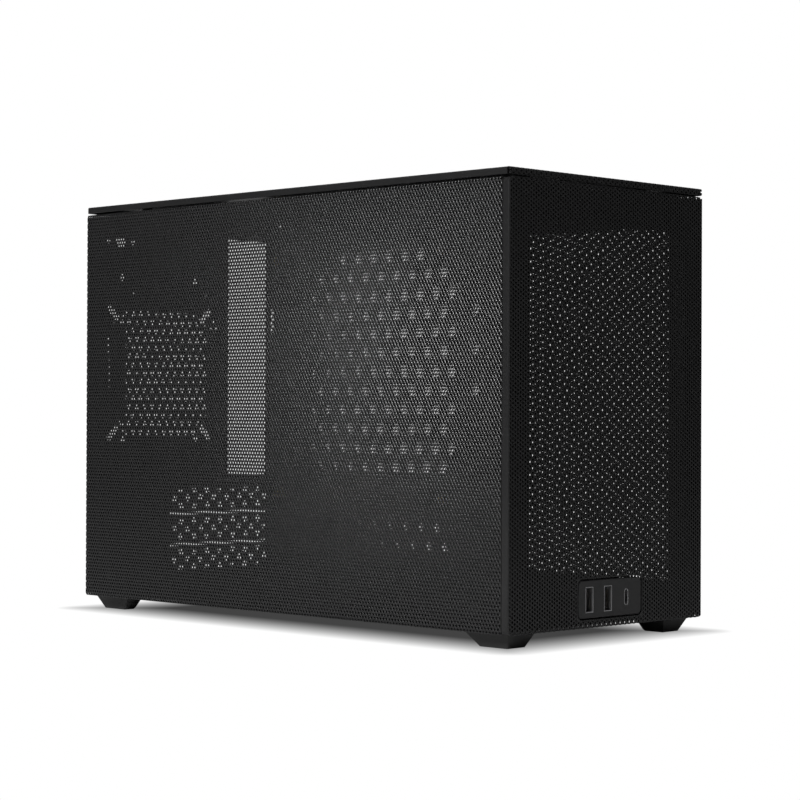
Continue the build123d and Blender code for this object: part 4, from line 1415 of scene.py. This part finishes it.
@dataclass(frozen=True)
class Viewpoint:
    """The photograph's camera: its place, its angles in degrees, its focal length and frame in pixels."""

    spot: Spot = (-0.9629, -0.9696, 0.1257)
    azimuth: float = -45.343
    elevation: float = -0.305
    roll: float = 0.235
    focal: float = 2247.6
    image: float = 800.0
    sensor: float = 36.0
    clip: tuple[float, float] = (0.01, 100.0)

    def add(self) -> None:
        """Put the camera into the scene and look through it."""
        azimuth, elevation, roll = (math.radians(turn) for turn in (self.azimuth, self.elevation, self.roll))
        back = Vector((math.sin(azimuth) * math.cos(elevation), -math.cos(azimuth) * math.cos(elevation),
                       math.sin(elevation)))
        right = (-back).cross(Vector((0, 0, 1))).normalized()
        up = right.cross(-back)
        turned_right = math.cos(roll) * right + math.sin(roll) * up
        turned_up = math.cos(roll) * up - math.sin(roll) * right
        data = bpy.data.cameras.new("camera")
        data.sensor_width = self.sensor
        data.lens = self.focal * self.sensor / self.image
        data.clip_start, data.clip_end = self.clip
        camera = put_in_scene("camera", data)
        turn = Matrix((turned_right, turned_up, back)).transposed()
        camera.matrix_world = Matrix.Translation(self.spot) @ turn.to_4x4()
        bpy.context.scene.camera = camera


@dataclass
class Stage:
    """White floor with a painted soft shadow round the body's outline, white surroundings, lamps and camera."""

    floor_half: float = 4.0
    floor_bounce: float = 0.8
    shadow_outside: float = 18.0 * MM
    shadow_inside: float = 38.0 * MM
    shadow_fade: float = 2.2
    darkest: float = 0.27
    ambient: float = 0.045
    mirrored: float = 0.08

    def seen_directly(self, write: NodeWriter) -> Socket:
        """1 for rays from the camera or through glass, else 0."""
        ray = write.node("ShaderNodeLightPath").outputs
        return write.math("MAXIMUM", ray["Is Camera Ray"], ray["Is Transmission Ray"])

    def distance_from_body(self, write: NodeWriter) -> Socket:
        """Distance on the floor from the body's outline, negative below the body.

        Args:
            write: the tree's writer.

        Returns:
            The distance's socket.
        """
        place = write.node("ShaderNodeSeparateXYZ", {0: write.node("ShaderNodeTexCoord").outputs["Object"]})
        past = [write.minus(write.math("ABSOLUTE", place.outputs[axis]), half)
                for axis, half in enumerate((HALF_WIDTH, HALF_DEPTH))]
        outside = [write.math("POWER", write.math("MAXIMUM", value, 0.0), 2.0) for value in past]
        away = write.math("SQRT", write.plus(*outside))
        return write.plus(away, write.math("MINIMUM", write.math("MAXIMUM", *past), 0.0))

    def floor(self) -> None:
        """Add the floor: white with a painted soft shadow to look at, a plain surface to other rays."""
        mesh = bpy.data.meshes.new("floor")
        reach = self.floor_half
        mesh.from_pydata([(x, y, 0.0) for x, y in Rect(-reach, reach, -reach, reach).outline()], [],
                         [(0, 1, 2, 3)])
        material = bpy.data.materials.new("floor_white_painted_shadow")
        material.use_nodes = True
        material.node_tree.nodes.clear()
        write = NodeWriter(material.node_tree)
        # Painted shadow: to camera rays the floor glows, dimmed by how far it lies inside or near the body's outline,
        # not by the lamps
        ramp = write.node("ShaderNodeMapRange", {
            "Value": self.distance_from_body(write), "From Min": -self.shadow_inside,
            "From Max": self.shadow_outside, "To Min": self.darkest, "To Max": 1.0,
        })
        shade = write.math("POWER", ramp.outputs[0], self.shadow_fade)
        painted_shadow_glow = write.node("ShaderNodeEmission", {"Strength": shade})
        plain = write.node("ShaderNodeBsdfDiffuse", {"Color": (*[self.floor_bounce] * 3, 1.0)})
        mix = write.node("ShaderNodeMixShader", {
            0: self.seen_directly(write), 1: plain.outputs[0], 2: painted_shadow_glow.outputs[0],
        })
        write.node("ShaderNodeOutputMaterial", {"Surface": mix.outputs[0]})
        mesh.materials.append(material)
        put_in_scene("floor", mesh)

    def surroundings(self) -> None:
        """Set the world: white to look at, dimmer as a light."""
        world = bpy.data.worlds.new("surroundings")
        world.use_nodes = True
        write = NodeWriter(world.node_tree)
        glossy = write.node("ShaderNodeLightPath").outputs["Is Glossy Ray"]
        unseen = write.spread(glossy, self.ambient, self.mirrored)
        strength = write.spread(self.seen_directly(write), unseen, 1.0)
        write.feed(world.node_tree.nodes["Background"], {"Color": (1.0, 1.0, 1.0, 1.0), "Strength": strength})
        bpy.context.scene.world = world

    def build(self) -> None:
        """Add everything that is round the object."""
        self.floor()
        self.surroundings()
        for softbox in SOFTBOXES:
            softbox.add()
        Viewpoint().add()
        bpy.context.scene.view_settings.view_transform = "Standard"


def main() -> None:
    """Build the case's assemblies in order, and then what is round it."""
    logging.basicConfig(level=logging.INFO, format="%(name)s %(message)s")
    SidePanel(body="left_panel", side=-1).build("left_panel")
    SidePanel(body="right_panel", side=1).build("right_panel")
    FrontPanel(body="front_panel").build("front_panel")
    TopPanel(body="top_panel").build("top_panel")
    RearWall().build("rear_panel")
    Screws().build_all()
    Mouldings().build()
    Contacts().build()
    dress_carried_nodes()
    Stage().build()


if __name__ == "__main__":
    main()
